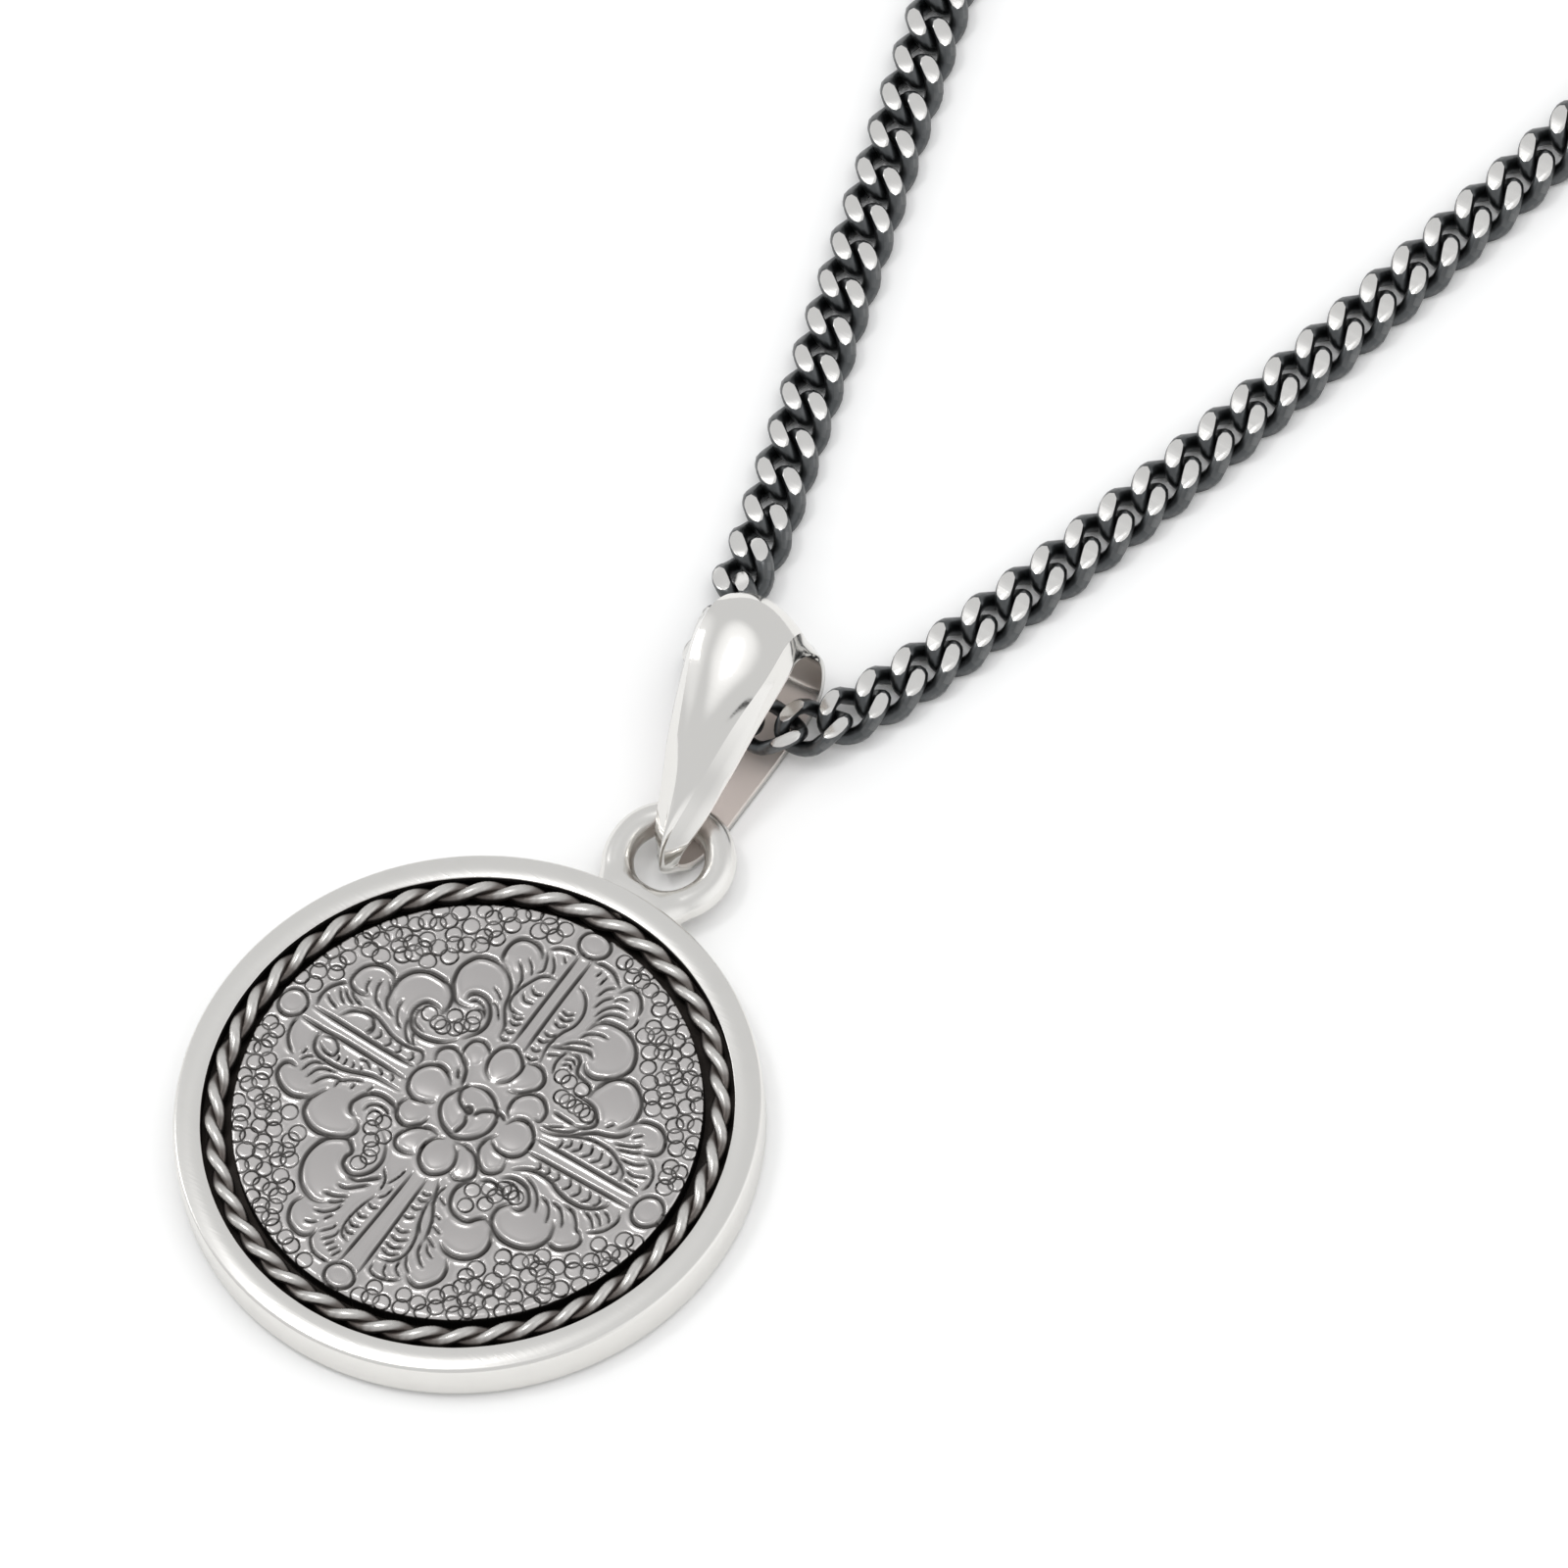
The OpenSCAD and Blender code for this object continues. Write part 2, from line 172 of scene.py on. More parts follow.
def joined(name, pieces):
    """One object made of these."""
    pick(*pieces)
    if len(pieces) > 1:
        bpy.ops.object.join()
    whole = bpy.context.object
    whole.name = whole.data.name = name
    return whole


def mark(piece, name, values, domain="POINT"):
    """Keeps a number for each point or face, for the finish to read."""
    layer = piece.data.attributes.new(name, "FLOAT", domain)
    layer.data.foreach_set("value", np.asarray(values, np.float32).ravel())


def smooth(piece, degrees):
    pick(piece)
    bpy.ops.object.shade_smooth_by_angle(angle=math.radians(degrees))


def dress(piece, finish, slot, *nodes):
    """Gives the piece its finish, and lets it stand for the plain parts of the source."""
    bpy.ops.object.select_all(action="DESELECT")
    piece.data.materials.clear()
    piece.data.materials.append(finish)
    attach(piece, "root")
    if nodes:
        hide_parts(*nodes)


# Finishes


def feed(tree, node, sockets):
    """Gives each socket a plain value, or a link from another node or one of its outputs."""
    for key, value in sockets.items():
        if isinstance(value, bpy.types.Node):
            value = value.outputs[0]
        if isinstance(value, bpy.types.NodeSocket):
            tree.links.new(value, node.inputs[key])
        else:
            node.inputs[key].default_value = value


def put(tree, kind, sockets=None, **settings):
    """Adds a node with its settings and its sockets fed."""
    node = tree.nodes.new("ShaderNode" + kind)
    for key, value in settings.items():
        setattr(node, key, value)
    feed(tree, node, sockets or {})
    return node


def group(name, ins, outs):
    """An empty node group with these inputs and outputs, and its two end nodes."""
    tree = bpy.data.node_groups.new(name, "ShaderNodeTree")
    for label, value in ins.items():
        kind = "NodeSocketColor" if isinstance(value, tuple) else "NodeSocketFloat"
        tree.interface.new_socket(label, in_out="INPUT", socket_type=kind).default_value = value
    for label in outs:
        kind = "NodeSocketColor" if label == "Color" else "NodeSocketFloat"
        tree.interface.new_socket(label, in_out="OUTPUT", socket_type=kind)
    return tree, tree.nodes.new("NodeGroupInput").outputs, tree.nodes.new("NodeGroupOutput")


def polish_marks():
    """Fine hairlines that a cloth leaves in polished silver, in two directions."""
    tree, given, end = group("polish_marks", {"Smooth": 0.1, "Rough": 0.2}, ("Height", "Roughness"))
    where = put(tree, "TexCoord").outputs["Object"]
    lines = []
    for angle, along, across in ((0.45, 260, 9000), (-1.0, 340, 12000)):
        lay = put(tree, "Mapping", {"Vector": where, "Rotation": (0, 0, angle),
                                    "Scale": (along, across, across)})
        lines.append(put(tree, "TexNoise", {"Vector": lay, "Scale": 1.0, "Detail": 2.0,
                                            "Roughness": 0.6}))
    both = put(tree, "Math", {0: lines[0], 1: lines[1]}, operation="MAXIMUM")
    spread = put(tree, "MapRange", {"Value": both, "From Min": 0.5, "From Max": 0.72})
    cloud = put(tree, "TexNoise", {"Vector": where, "Scale": 420.0, "Detail": 3.0})
    mixed = put(tree, "Math", {0: spread, 1: cloud}, operation="MULTIPLY")
    rough = put(tree, "MapRange", {"Value": mixed, "To Min": given["Smooth"],
                                   "To Max": given["Rough"]})
    feed(tree, end, {"Height": mixed, "Roughness": rough})
    return tree


def blackening():
    """Silver blackened all over and made bright again where the wear input is high; on some pieces
    that input also holds painted light and shade.
    """
    tree, given, end = group("blackening", {
        "Wear and painted light": 0.5, "Break up": 0.3, "Grain": 2000.0, "Bright": (0.8, 0.79, 0.77, 1),
        "Black": (0.03, 0.03, 0.03, 1), "Bright roughness": 0.2, "Black roughness": 0.4},
        ("Color", "Roughness"))
    where = put(tree, "TexCoord").outputs["Object"]
    noise = put(tree, "TexNoise", {"Vector": where, "Scale": given["Grain"], "Detail": 4.0,
                                   "Roughness": 0.6})
    centred = put(tree, "Math", {0: noise, 1: 0.5}, operation="SUBTRACT")
    nudged = put(tree, "Math", {0: centred, 1: given["Break up"], 2: given["Wear and painted light"]},
                 operation="MULTIPLY_ADD")
    wear_and_painted_light = put(tree, "Clamp", {"Value": nudged})
    colour = put(tree, "Mix", {"Factor": wear_and_painted_light, "A": given["Black"], "B": given["Bright"]},
                 data_type="RGBA")
    rough = put(tree, "MapRange", {"Value": wear_and_painted_light, "To Min": given["Black roughness"],
                                   "To Max": given["Bright roughness"]})
    feed(tree, end, {"Color": colour.outputs["Result"], "Roughness": rough})
    return tree


RING_LAYS = ("rings_a", "rings_b", "rings_c", "rings_d")


def ring_punches():
    """The thin lines of the ring punches and the burrs beside them.

    It reads each place's distance to the rings, which lie in several lays.
    """
    tree, given, end = group("ring_punches", {"Line": 0.055, "Burr": 0.13}, ("Line", "Height"))
    nearest = None
    for name in RING_LAYS:
        read = put(tree, "Attribute", attribute_name=name).outputs["Fac"]
        off = put(tree, "Math", {0: read}, operation="ABSOLUTE")
        nearest = put(tree, "Math", {0: nearest, 1: off}, operation="MINIMUM") if nearest else off
    line, burr = (put(tree, "MapRange", {"Value": nearest, "From Max": given[name], "To Min": 1.0,
                                         "To Max": 0.0}, interpolation_type="SMOOTHSTEP")
                  for name in ("Line", "Burr"))
    height = put(tree, "Math", {0: line, 1: -1.8, 2: burr}, operation="MULTIPLY_ADD")
    feed(tree, end, {"Line": line, "Height": height})
    return tree


POLISH_MARKS, BLACKENING, RING_PUNCHES = polish_marks(), blackening(), ring_punches()


def metal(name):
    material = bpy.data.materials.new(name)
    material.use_nodes = True
    tree = material.node_tree
    surface = tree.nodes["Principled BSDF"]
    surface.inputs["Metallic"].default_value = 1.0
    return material, tree, surface


def bump(tree, surface, height, depth):
    relief = put(tree, "Bump", {"Height": height, "Strength": 1.0, "Distance": depth * MM})
    feed(tree, surface, {"Normal": relief})


def polished_silver(name, colour, low, high, depth):
    material, tree, surface = metal(name)
    marks = put(tree, "Group", {"Smooth": low, "Rough": high}, node_tree=POLISH_MARKS)
    feed(tree, surface, {"Base Color": (*colour, 1), "Roughness": marks.outputs["Roughness"]})
    bump(tree, surface, marks.outputs["Height"], depth)
    return material


def worn_silver(name, bright, black, low, high, grain, break_up, depth=0.0, punched=0.0):
    """Blackened silver that reads from the piece how far each place is rubbed bright; on some
    pieces that number also holds painted light and shade.
    """
    material, tree, surface = metal(name)
    wear_and_painted_light = put(tree, "Attribute", attribute_name="wear_and_painted_light").outputs["Fac"]
    if punched:
        rings = put(tree, "Group", node_tree=RING_PUNCHES)
        # black stays in the rings' lines
        wear_and_painted_light = put(tree, "Math", {0: rings.outputs["Line"], 1: -0.55, 2: wear_and_painted_light},
                   operation="MULTIPLY_ADD")
        bump(tree, surface, rings.outputs["Height"], punched)
    if depth:
        marks = put(tree, "Group", node_tree=POLISH_MARKS)
        bump(tree, surface, marks.outputs["Height"], depth)
    coat = put(tree, "Group", {
        "Wear and painted light": wear_and_painted_light, "Bright": (*bright, 1), "Black": (*black, 1), "Grain": grain,
        "Break up": break_up, "Bright roughness": low, "Black roughness": high},
        node_tree=BLACKENING)
    feed(tree, surface, {"Base Color": coat.outputs["Color"],
                         "Roughness": coat.outputs["Roughness"]})
    return material


SILVER = (0.77, 0.757, 0.73)
rim_finish = worn_silver("rim_silver", SILVER, (0.035, 0.03, 0.027), 0.23, 0.45, 900, 0.1, 0.0025)
ring_finish = worn_silver("ring_silver", SILVER, (0.2, 0.16, 0.12), 0.22, 0.4, 900, 0.15, 0.002)
bail_finish = worn_silver("bail_silver", SILVER, (0.92, 0.85, 0.81), 0.08, 0.66, 900, 0.1, 0.0006)
clasp_finish = polished_silver("clasp_silver", SILVER, 0.12, 0.22, 0.001)
rope_finish = worn_silver("rope_silver", (0.66, 0.645, 0.62), (0.12, 0.103, 0.094), 0.25, 0.4,
                          1500, 0.3, 0.002)
chain_finish = worn_silver("chain_silver", (0.74, 0.73, 0.71), (0.085, 0.09, 0.093), 0.25, 0.34,
                           1800, 0.12, 0.003)
coin_finish = worn_silver("coin_silver", (0.61, 0.588, 0.575), (0.07, 0.066, 0.063), 0.2, 0.4,
                          700, 0.1, punched=0.012)


# Bezel


def rim_profile():
    """Half section of the rim and back plate, from the axis underneath to the axis on top."""
    foot = [(RIM_R - RIM_FOOT_R + RIM_FOOT_R * math.sin(a), RIM_FOOT_R - RIM_FOOT_R * math.cos(a))
            for a in np.linspace(0, math.pi / 2, 7)]

    def dome(r):
        return RIM_H - RIM_DOME_R + math.sqrt(RIM_DOME_R**2 - (r - RIM_DOME_X)**2)

    fall = RIM_SHOULDER * 1.1
    outer = [(RIM_R, dome(RIM_R) - 0.5), (RIM_R, dome(RIM_R) - fall)]
    top = dome(RIM_R - RIM_SHOULDER)
    for a in np.linspace(0.25, 1, 5):
        w = a * math.pi / 2
        outer.append((RIM_R - RIM_SHOULDER * (1 - math.cos(w)),
                      top - (top - dome(RIM_R) + fall) * (1 - math.sin(w))))
    in_r = RIM_IN_R + RIM_LIP
    crown = [(r, dome(r)) for r in np.linspace(RIM_R - RIM_SHOULDER, in_r, 13)[1:]]
    inner = [(RIM_IN_R + RIM_LIP * (1 - math.sin(a)), dome(in_r) - RIM_LIP * (1 - math.cos(a)))
             for a in np.linspace(0.3, math.pi / 2, 4)]
    wall = [(RIM_IN_R, z) for z in (1.5, 1.3, BACK_T)]
    return [(0, 0), *foot, *outer, *crown, *inner, *wall, (0, BACK_T)]


def make_rim():
    rim = spun("bezel_rim", rim_profile(), 256)
    p = spots(rim)
    r, z = np.hypot(p[:, 0], p[:, 1]), p[:, 2]
    # black in the channel, bright on the rim, with some black left under its inner edge
    clean = np.maximum(step(r, RIM_IN_R + 0.005, RIM_IN_R + 0.03), step(z, 1.6, 1.78))
    mark(rim, "wear_and_painted_light", np.where(z < 0.01, 1, clean))
    smooth(rim, 40)
    dress(rim, rim_finish, "bezel_silver", "bezel")


def make_jump_ring():
    """The ring soldered to the rim, with solder drawn up where they meet."""
    around, across = 144, 40
    ring = hoop("jump_ring", around, across)
    u, v = circle(around), circle(across)
    out = np.stack([np.cos(u), np.sin(u), 0 * u], 1)[:, None, :]
    section = np.cos(v)[None, :, None] * out + np.sin(v)[None, :, None] * UP
    p = np.array([0, RING_Y, RING_Z]) + RING_R * out + RING_WIRE / 2 * section
    gap = np.hypot(p[..., 0], p[..., 1]) - RIM_R
    solder_reach, solder = 0.75, 0.34
    flare = np.where(gap < solder_reach, np.clip(1 - gap / solder_reach, 0, 1.3)**2, 0)
    side = 1 + 0.25 * (p[..., 0] < 0)
    p = p + (solder * flare * side)[..., None] * section * np.array([1, 1, 0.75])
    # uneven, as melted solder is
    wave = 0.012 * np.sin(u * 5 + 1.0)[:, None] * np.sin(2 * v + 0.5)[None, :]
    p = p + wave[..., None] * section
    p[..., 2] = np.clip(p[..., 2], 0.06, RIM_H - 0.12)
    place(ring, turn(p, RING_TURN))
    face_out(ring)
    # a little dark inside, where the bail rubs and the cloth does not reach
    # painted shade: the inner side of the ring, where the bail passes through, is coloured a little
    # darker
    inner = np.broadcast_to(-np.cos(v)[None, :], (around, across))
    mark(ring, "wear_and_painted_light", 1 - 0.4 * step(inner, 0.3, 1.0))
    smooth(ring, 60)
    dress(ring, ring_finish, "bezel_silver")


def make_rope():
    """Two round wires twisted together and bent to a ring, melted together at one joint."""
    across = 10
    around = ROPE_TURNS * 12
    u, v = circle(around), circle(across)
    joint, joint_reach = math.radians(98.5), 0.035
    near = np.exp(-((np.angle(np.exp(1j * (u - joint)))) / joint_reach)**2)
    radial = np.stack([np.cos(u), np.sin(u), 0 * u], 1)
    crest, rubbed = ROPE_Z + 2 * ROPE_STRAND, 0.035
    strands = []
    for side in (0, math.pi):
        strand = hoop("rope_strand", around, across)
        twist = u * ROPE_TURNS + side
        lay = 0.88 * ROPE_STRAND * (1 - 0.35 * near)
        centre = (ROPE_R + lay * np.cos(twist))[:, None] * radial \
            + (ROPE_Z + lay * np.sin(twist))[:, None] * UP
        ahead = unit(np.roll(centre, -1, 0) - np.roll(centre, 1, 0))
        e1 = np.cos(twist)[:, None] * radial + np.sin(twist)[:, None] * UP
        e1 = unit(e1 - (e1 * ahead).sum(1)[:, None] * ahead)
        e2 = np.cross(e1, ahead)
        wire = 1.18 * ROPE_STRAND * (1 + 0.25 * near)
        p = centre[:, None, :] + wire[:, None, None] * (
            np.cos(v)[None, :, None] * e1[:, None, :] + np.sin(v)[None, :, None] * e2[:, None, :])
        # the crests are rubbed flat and bright
        height = p[..., 2]
        p[..., 2] = np.minimum(height, crest - rubbed + 0.3 * (height - crest + rubbed))
        place(strand, p)
        face_out(strand)
        from_axis = np.linalg.norm(p - (ROPE_R * radial + ROPE_Z * UP)[:, None, :], axis=2)
        top = step(p[..., 2], ROPE_Z + 0.17, ROPE_Z + 0.38)
        mark(strand, "wear_and_painted_light", step(from_axis, 0.17, 0.36) * (0.1 + 0.9 * top))
        pick(strand)
        strand.modifiers.new("round", "SUBSURF")
        bpy.ops.object.modifier_apply(modifier="round")
        strands.append(strand)
    rope = joined("rope_wires", strands)
    smooth(rope, 60)
    dress(rope, rope_finish, "rope_silver", "rope_ring")


# Bail

# Along, height, thickness, width, dome and flank of each section
BAIL = [
    (0.00, 0.17, 0.60, 0.20, 1, 0.06),
    (0.05, 0.39, 0.75, 0.30, 1, 0.13),
    (0.22, 0.57, 0.85, 0.51, 1, 0.155),
    (0.34, 0.71, 0.92, 0.65, 1, 0.15),
    (0.50, 0.86, 0.97, 0.78, 1, 0.125),
    (0.67, 0.97, 1.00, 0.90, 1, 0.09),
    (0.82, 0.99, 1.00, 0.97, 1, 0.105),
    (0.945, 0.83, 0.92, 0.98, 1, 0.165),
    (1.00, 0.58, 0.80, 0.94, 0.9, 0.2),
    (0.99, 0.32, 0.62, 0.86, 0.7, 0.15),
    (0.93, 0.10, 0.48, 0.78, 0.4, 0.06),
    (0.82, 0.01, 0.40, 0.72, 0.1, 0.05),
    (0.61, 0.00, 0.38, 0.63, 0, 0.05),
    (0.41, 0.00, 0.38, 0.53, 0, 0.05),
    (0.23, 0.00, 0.379, 0.43, 0, 0.05),
    (0.09, 0.02, 0.45, 0.28, 0.3, 0.05),
]
BAIL_STEPS = 10
# Where along those sections the front folds over, and where the crease before the fold lies
FOLD_AT, FOLD_REACH, CREASE_AT = 6.7, 1.1, 6


def bail_edge():
    """The section across the bail: side, flank taken off, and rise of each point."""
    crown = [(x, 1, 1 - 0.26 * x * x) for x in np.linspace(-1, 1, 17)]
    left = [(-1, 0, 0), (-1, 0, 0.1), (-1, 0.03, 0.15), (-1, 0.52, 0.44)]
    right = [(-x, f, r) for x, f, r in reversed(left)]
    under = [(x, 0, 0) for x in (0.6, 0.2, -0.2, -0.6)]
    return left + crown + right + under


def make_bail():
    rows = smooth_line(BAIL, BAIL_STEPS, closed=True)
    rows[:, 1] = np.maximum(rows[:, 1], 0)
    along, height, thick, wide, dome, flat = (rows[:, k][:, None] for k in range(6))
    line = np.hstack([along * (BAIL_LEN + FOOT_REACH) - FOOT_REACH, height * BAIL_H])
    ahead = unit(np.roll(line, -1, 0) - np.roll(line, 1, 0))
    edge = np.array(bail_edge(), float)
    side, flank, lift = (column[None, :] for column in edge.T)
    section = (np.arange(len(rows)) / BAIL_STEPS)[:, None]
    fold = np.exp(-((section - FOLD_AT) / FOLD_REACH)**2)
    crown, right = flank == 1, side > 0
    rise = lift * dome + (lift > 0) * (1 - dome)
    # the domed front ends in an arched crease, and past it the fold slopes off
    past = np.clip(section - (CREASE_AT - 0.2 * side**2), 0, 1.4)
    slope = 0.2 * crown * past * (1 - step(section, 8.4, 9.6))
    taken = flank * flat * (1 + 0.3 * fold - 0.85 * fold * right)
    across = side * (wide / 2 * (1 - 0.12 * fold * right) - taken) * BAIL_W
    depth = (1 - rise) * thick * BAIL_T + slope
    # at the fold the front swells
    swell = fold * crown * (1 - 0.25 * (side + 0.4)**2)
    y = line[:, :1] + depth * ahead[:, 1:] + 0.55 * swell
    z = np.maximum(line[:, 1:] - depth * ahead[:, :1] + 0.28 * swell, 0)
    x = across - math.tan(math.radians(BAIL_ROLL)) * z
    y = y - math.tan(math.radians(BAIL_SKEW)) * across
    p = turn(np.stack([x, y + RING_R, z], 2), BAIL_LEAN)
    p[..., 1] += RING_Y
    around, count = len(rows), len(edge)
    bail = hoop("bail_loop", around, count)
    place(bail, turn(p, RING_TURN))
    face_out(bail)
    # the creases between the domed front and its flanks stay crisp, and so do the sheet's edges
    for e in bail.data.edges:
        (row, a), (other, b) = (divmod(v, count) for v in e.vertices)
        if a == b and row != other:
            e.use_edge_sharp = a in (0, 24) or (a in (4, 20) and rows[row, 4] > 0.35)
    for f in bail.data.polygons:
        f.use_smooth = True
    # polished in front and in the fold, dull inside of the back strip and the front
    inside = 0.1 + 0.9 * step(section, 5.5, 6.5) * (1 - step(section, 9.6, 10.6))
    mark(bail, "wear_and_painted_light", np.where(lift > 0.05, 1, inside))
    dress(bail, bail_finish, "bail_silver", "bail")


# Chain

# Its closed route, as in the part: x, y, lift over its resting height, and bank
ROUTE = [
    (-1.94, 17.68, 0.75, 18), (-1.46, 17.67, 0.68, 11), (-0.64, 17.8, 0.68, 9.5),
    (0.13, 18.32, 0.5, 5), (0.77, 18.89, 0.45, 0), (1.25, 19.69, 0.29, 0), (1.87, 21.3, 0.12, 0),
    (2.4, 23, 0.02, 0), (3.5, 26.9, 0, 0), (4.5, 30.9, 0, 0), (5.7, 36.3, 0, 0),
    (7.25, 44.4, 0, 0), (9.4, 57, 0, 0), (12.1, 74, 0, 0), (14.8, 95, 0, 0), (16.8, 118, 0, 0),
    (18, 140, 0, 0), (18.4, 160, 0, 0), (17.4, 178, 0, 0), (11.8, 195.5, 0, 0),
    (-0.8, 208.6, 0, 0), (-18, 214, 0, 0), (-36, 210.4, 0, 0), (-50, 199.4, 0, 0),
    (-56.6, 183, 0, 0), (-55.2, 164.6, 0, 0), (-49, 145.6, 0, 0), (-41.2, 124, 0, 0),
    (-33.2, 101.8, 0, 0), (-26.4, 83, 0, 0), (-20.4, 66.4, 0, 0), (-15.4, 52.4, 0, 0),
    (-12.2, 43.4, 0, 0), (-9.7, 36.4, 0, 0), (-7.2, 29.4, 0, 0), (-5.95, 25.9, 0, 0),
    (-5.25, 23.9, 0.05, 8), (-4.92, 22.6, 0.19, 15), (-4.33, 21.09, 0.38, 34.6),
    (-4.1, 20.48, 0.56, 42), (-4.02, 19.4, 0.55, 47.5), (-3.58, 18.69, 0.68, 41),
    (-2.96, 18.13, 0.71, 31),
]
route = smooth_line(ROUTE, 12, closed=True)
route = np.vstack([route, route[:1]])
route_runs = np.concatenate([[0], np.cumsum(np.linalg.norm(np.diff(route[:, :3], axis=0), axis=1))])
ROUTE_LEN = route_runs[-1]


def on_route(s):
    s = np.mod(s, ROUTE_LEN)
    p = np.stack([np.interp(s, route_runs, route[:, k]) for k in range(3)], -1)
    return p + CHAIN_T / 2 * UP


def route_aim(s):
    return unit(on_route(s + LINK_PITCH / 2) - on_route(s - LINK_PITCH / 2))


def from_route(s, p):
    """Points given as along, to the left and up from the banked route at s."""
    t = route_aim(s)
    n = unit(np.cross(UP, t))
    b = np.cross(t, n)
    bank = math.radians(np.interp(s % ROUTE_LEN, route_runs, route[:, 3]))
    left = p[:, 1] * math.cos(bank) - p[:, 2] * math.sin(bank)
    up = p[:, 1] * math.sin(bank) + p[:, 2] * math.cos(bank)
    q = on_route(s) + p[:, :1] * t + left[:, None] * n + up[:, None] * b
    q[:, 2] = np.maximum(q[:, 2], 0.01)
    return q


def turned_at(s):
    """Degrees that the route turns from link to link at s."""
    ahead = route_aim(s - LINK_PITCH) @ route_aim(s + LINK_PITCH)
    return math.degrees(math.acos(min(1, ahead))) / 2


def link_spot(t):
    """The middle of a link's wire at t, as a twisted ellipse."""
    x = LINK_LEN / 2 * np.cos(t)
    y = LINK_W / 2 * np.sin(t)
    a = -np.radians(LINK_TWIST) * np.sign(x) * np.abs(2 * x / LINK_LEN)**0.8
    return np.stack([x, y * np.cos(a), y * np.sin(a)], -1), a


def make_link(around, across, half_cut):
    """One curb link: a ring of round wire, twisted, then ground flat on both faces."""
    link = hoop("curb_link", around, across)
    t, v = circle(around, 0.5), circle(across, 0.5)
    c, a = link_spot(t)
    ahead = unit(link_spot(t + 0.05)[0] - link_spot(t - 0.05)[0])
    out = unit(np.cross(ahead, np.stack([0 * a, -np.sin(a), np.cos(a)], 1)))
    up = np.cross(out, ahead)
    place(link, c[:, None, :] + LINK_WIRE / 2 * (np.cos(v)[None, :, None] * out[:, None, :]
                                                 + np.sin(v)[None, :, None] * up[:, None, :]))
    face_out(link)
    for side in (1, -1):
        edit(link)
        bpy.ops.mesh.bisect(plane_co=(0, 0, side * half_cut * MM), plane_no=(0, 0, side),
                            use_fill=True, clear_outer=True, threshold=1e-7)
        done()
    # the flats are rubbed bright, and the outer sides a little
    p = spots(link)
    corners = [p[list(f.vertices)] for f in link.data.polygons]
    flats = np.array([np.abs(q[:, 2]).min() > half_cut - 0.004 for q in corners])
    middles = np.abs([q.mean(0) for q in corners])
    outside = step(middles[:, 1], 0.75, 1.15) * step(middles[:, 2], 0.0, 0.3)
    mark(link, "wear_and_painted_light", np.where(flats, 1.0, 0.02 + 0.12 * outside), "FACE")
    return link, p


def lay_links(name, numbers, around, across, half_cut):
    """Copies of the link along the route, each with its own mesh."""
    pattern, p = make_link(around, across, half_cut)
    centre_line = link_spot(np.linspace(0, 2 * math.pi, 361))[0]
    nearest = np.array([centre_line[np.argmin(((centre_line - q)**2).sum(1))] for q in p])
    links = []
    for k in numbers:
        s = k * LINK_PITCH
        # thinner wire where the route bends sharply, so that the links keep clear
        thin = 1 - 0.0045 * turned_at(s) / 0.62
        link = pattern.copy()
        link.data = pattern.data.copy()
        bpy.context.scene.collection.objects.link(link)
        place(link, from_route(s, nearest + (p - nearest) * (thin if thin < 0.97 else 1)))
        links.append(link)
    bpy.data.objects.remove(pattern)
    chain = joined(name, links)
    smooth(chain, 38)
    return chain


def make_chain():
    front = lay_links("chain_front_links", range(-LINKS_LEFT, LINKS_RIGHT + 1), 40, 12, 0.51)
    dress(front, chain_finish, "chain_silver", "chain_front")
    reach = BARREL_LEN / 2 + 2 * EYE_R + 1.1
    clasp_s = ((LINKS_RIGHT + 0.5) * LINK_PITCH + ROUTE_LEN - (LINKS_LEFT + 0.5) * LINK_PITCH) / 2
    last = int((clasp_s - reach) / LINK_PITCH)
    first = -int((ROUTE_LEN - clasp_s - reach) / LINK_PITCH)
    numbers = [*range(LINKS_RIGHT + 1, last + 1), *range(first, -LINKS_LEFT)]
    back = lay_links("chain_back_links", numbers, 14, 6, 0.5)
    dress(back, chain_finish, "chain_silver", "chain_back")
    return clasp_s, (last * LINK_PITCH, first * LINK_PITCH + ROUTE_LEN)


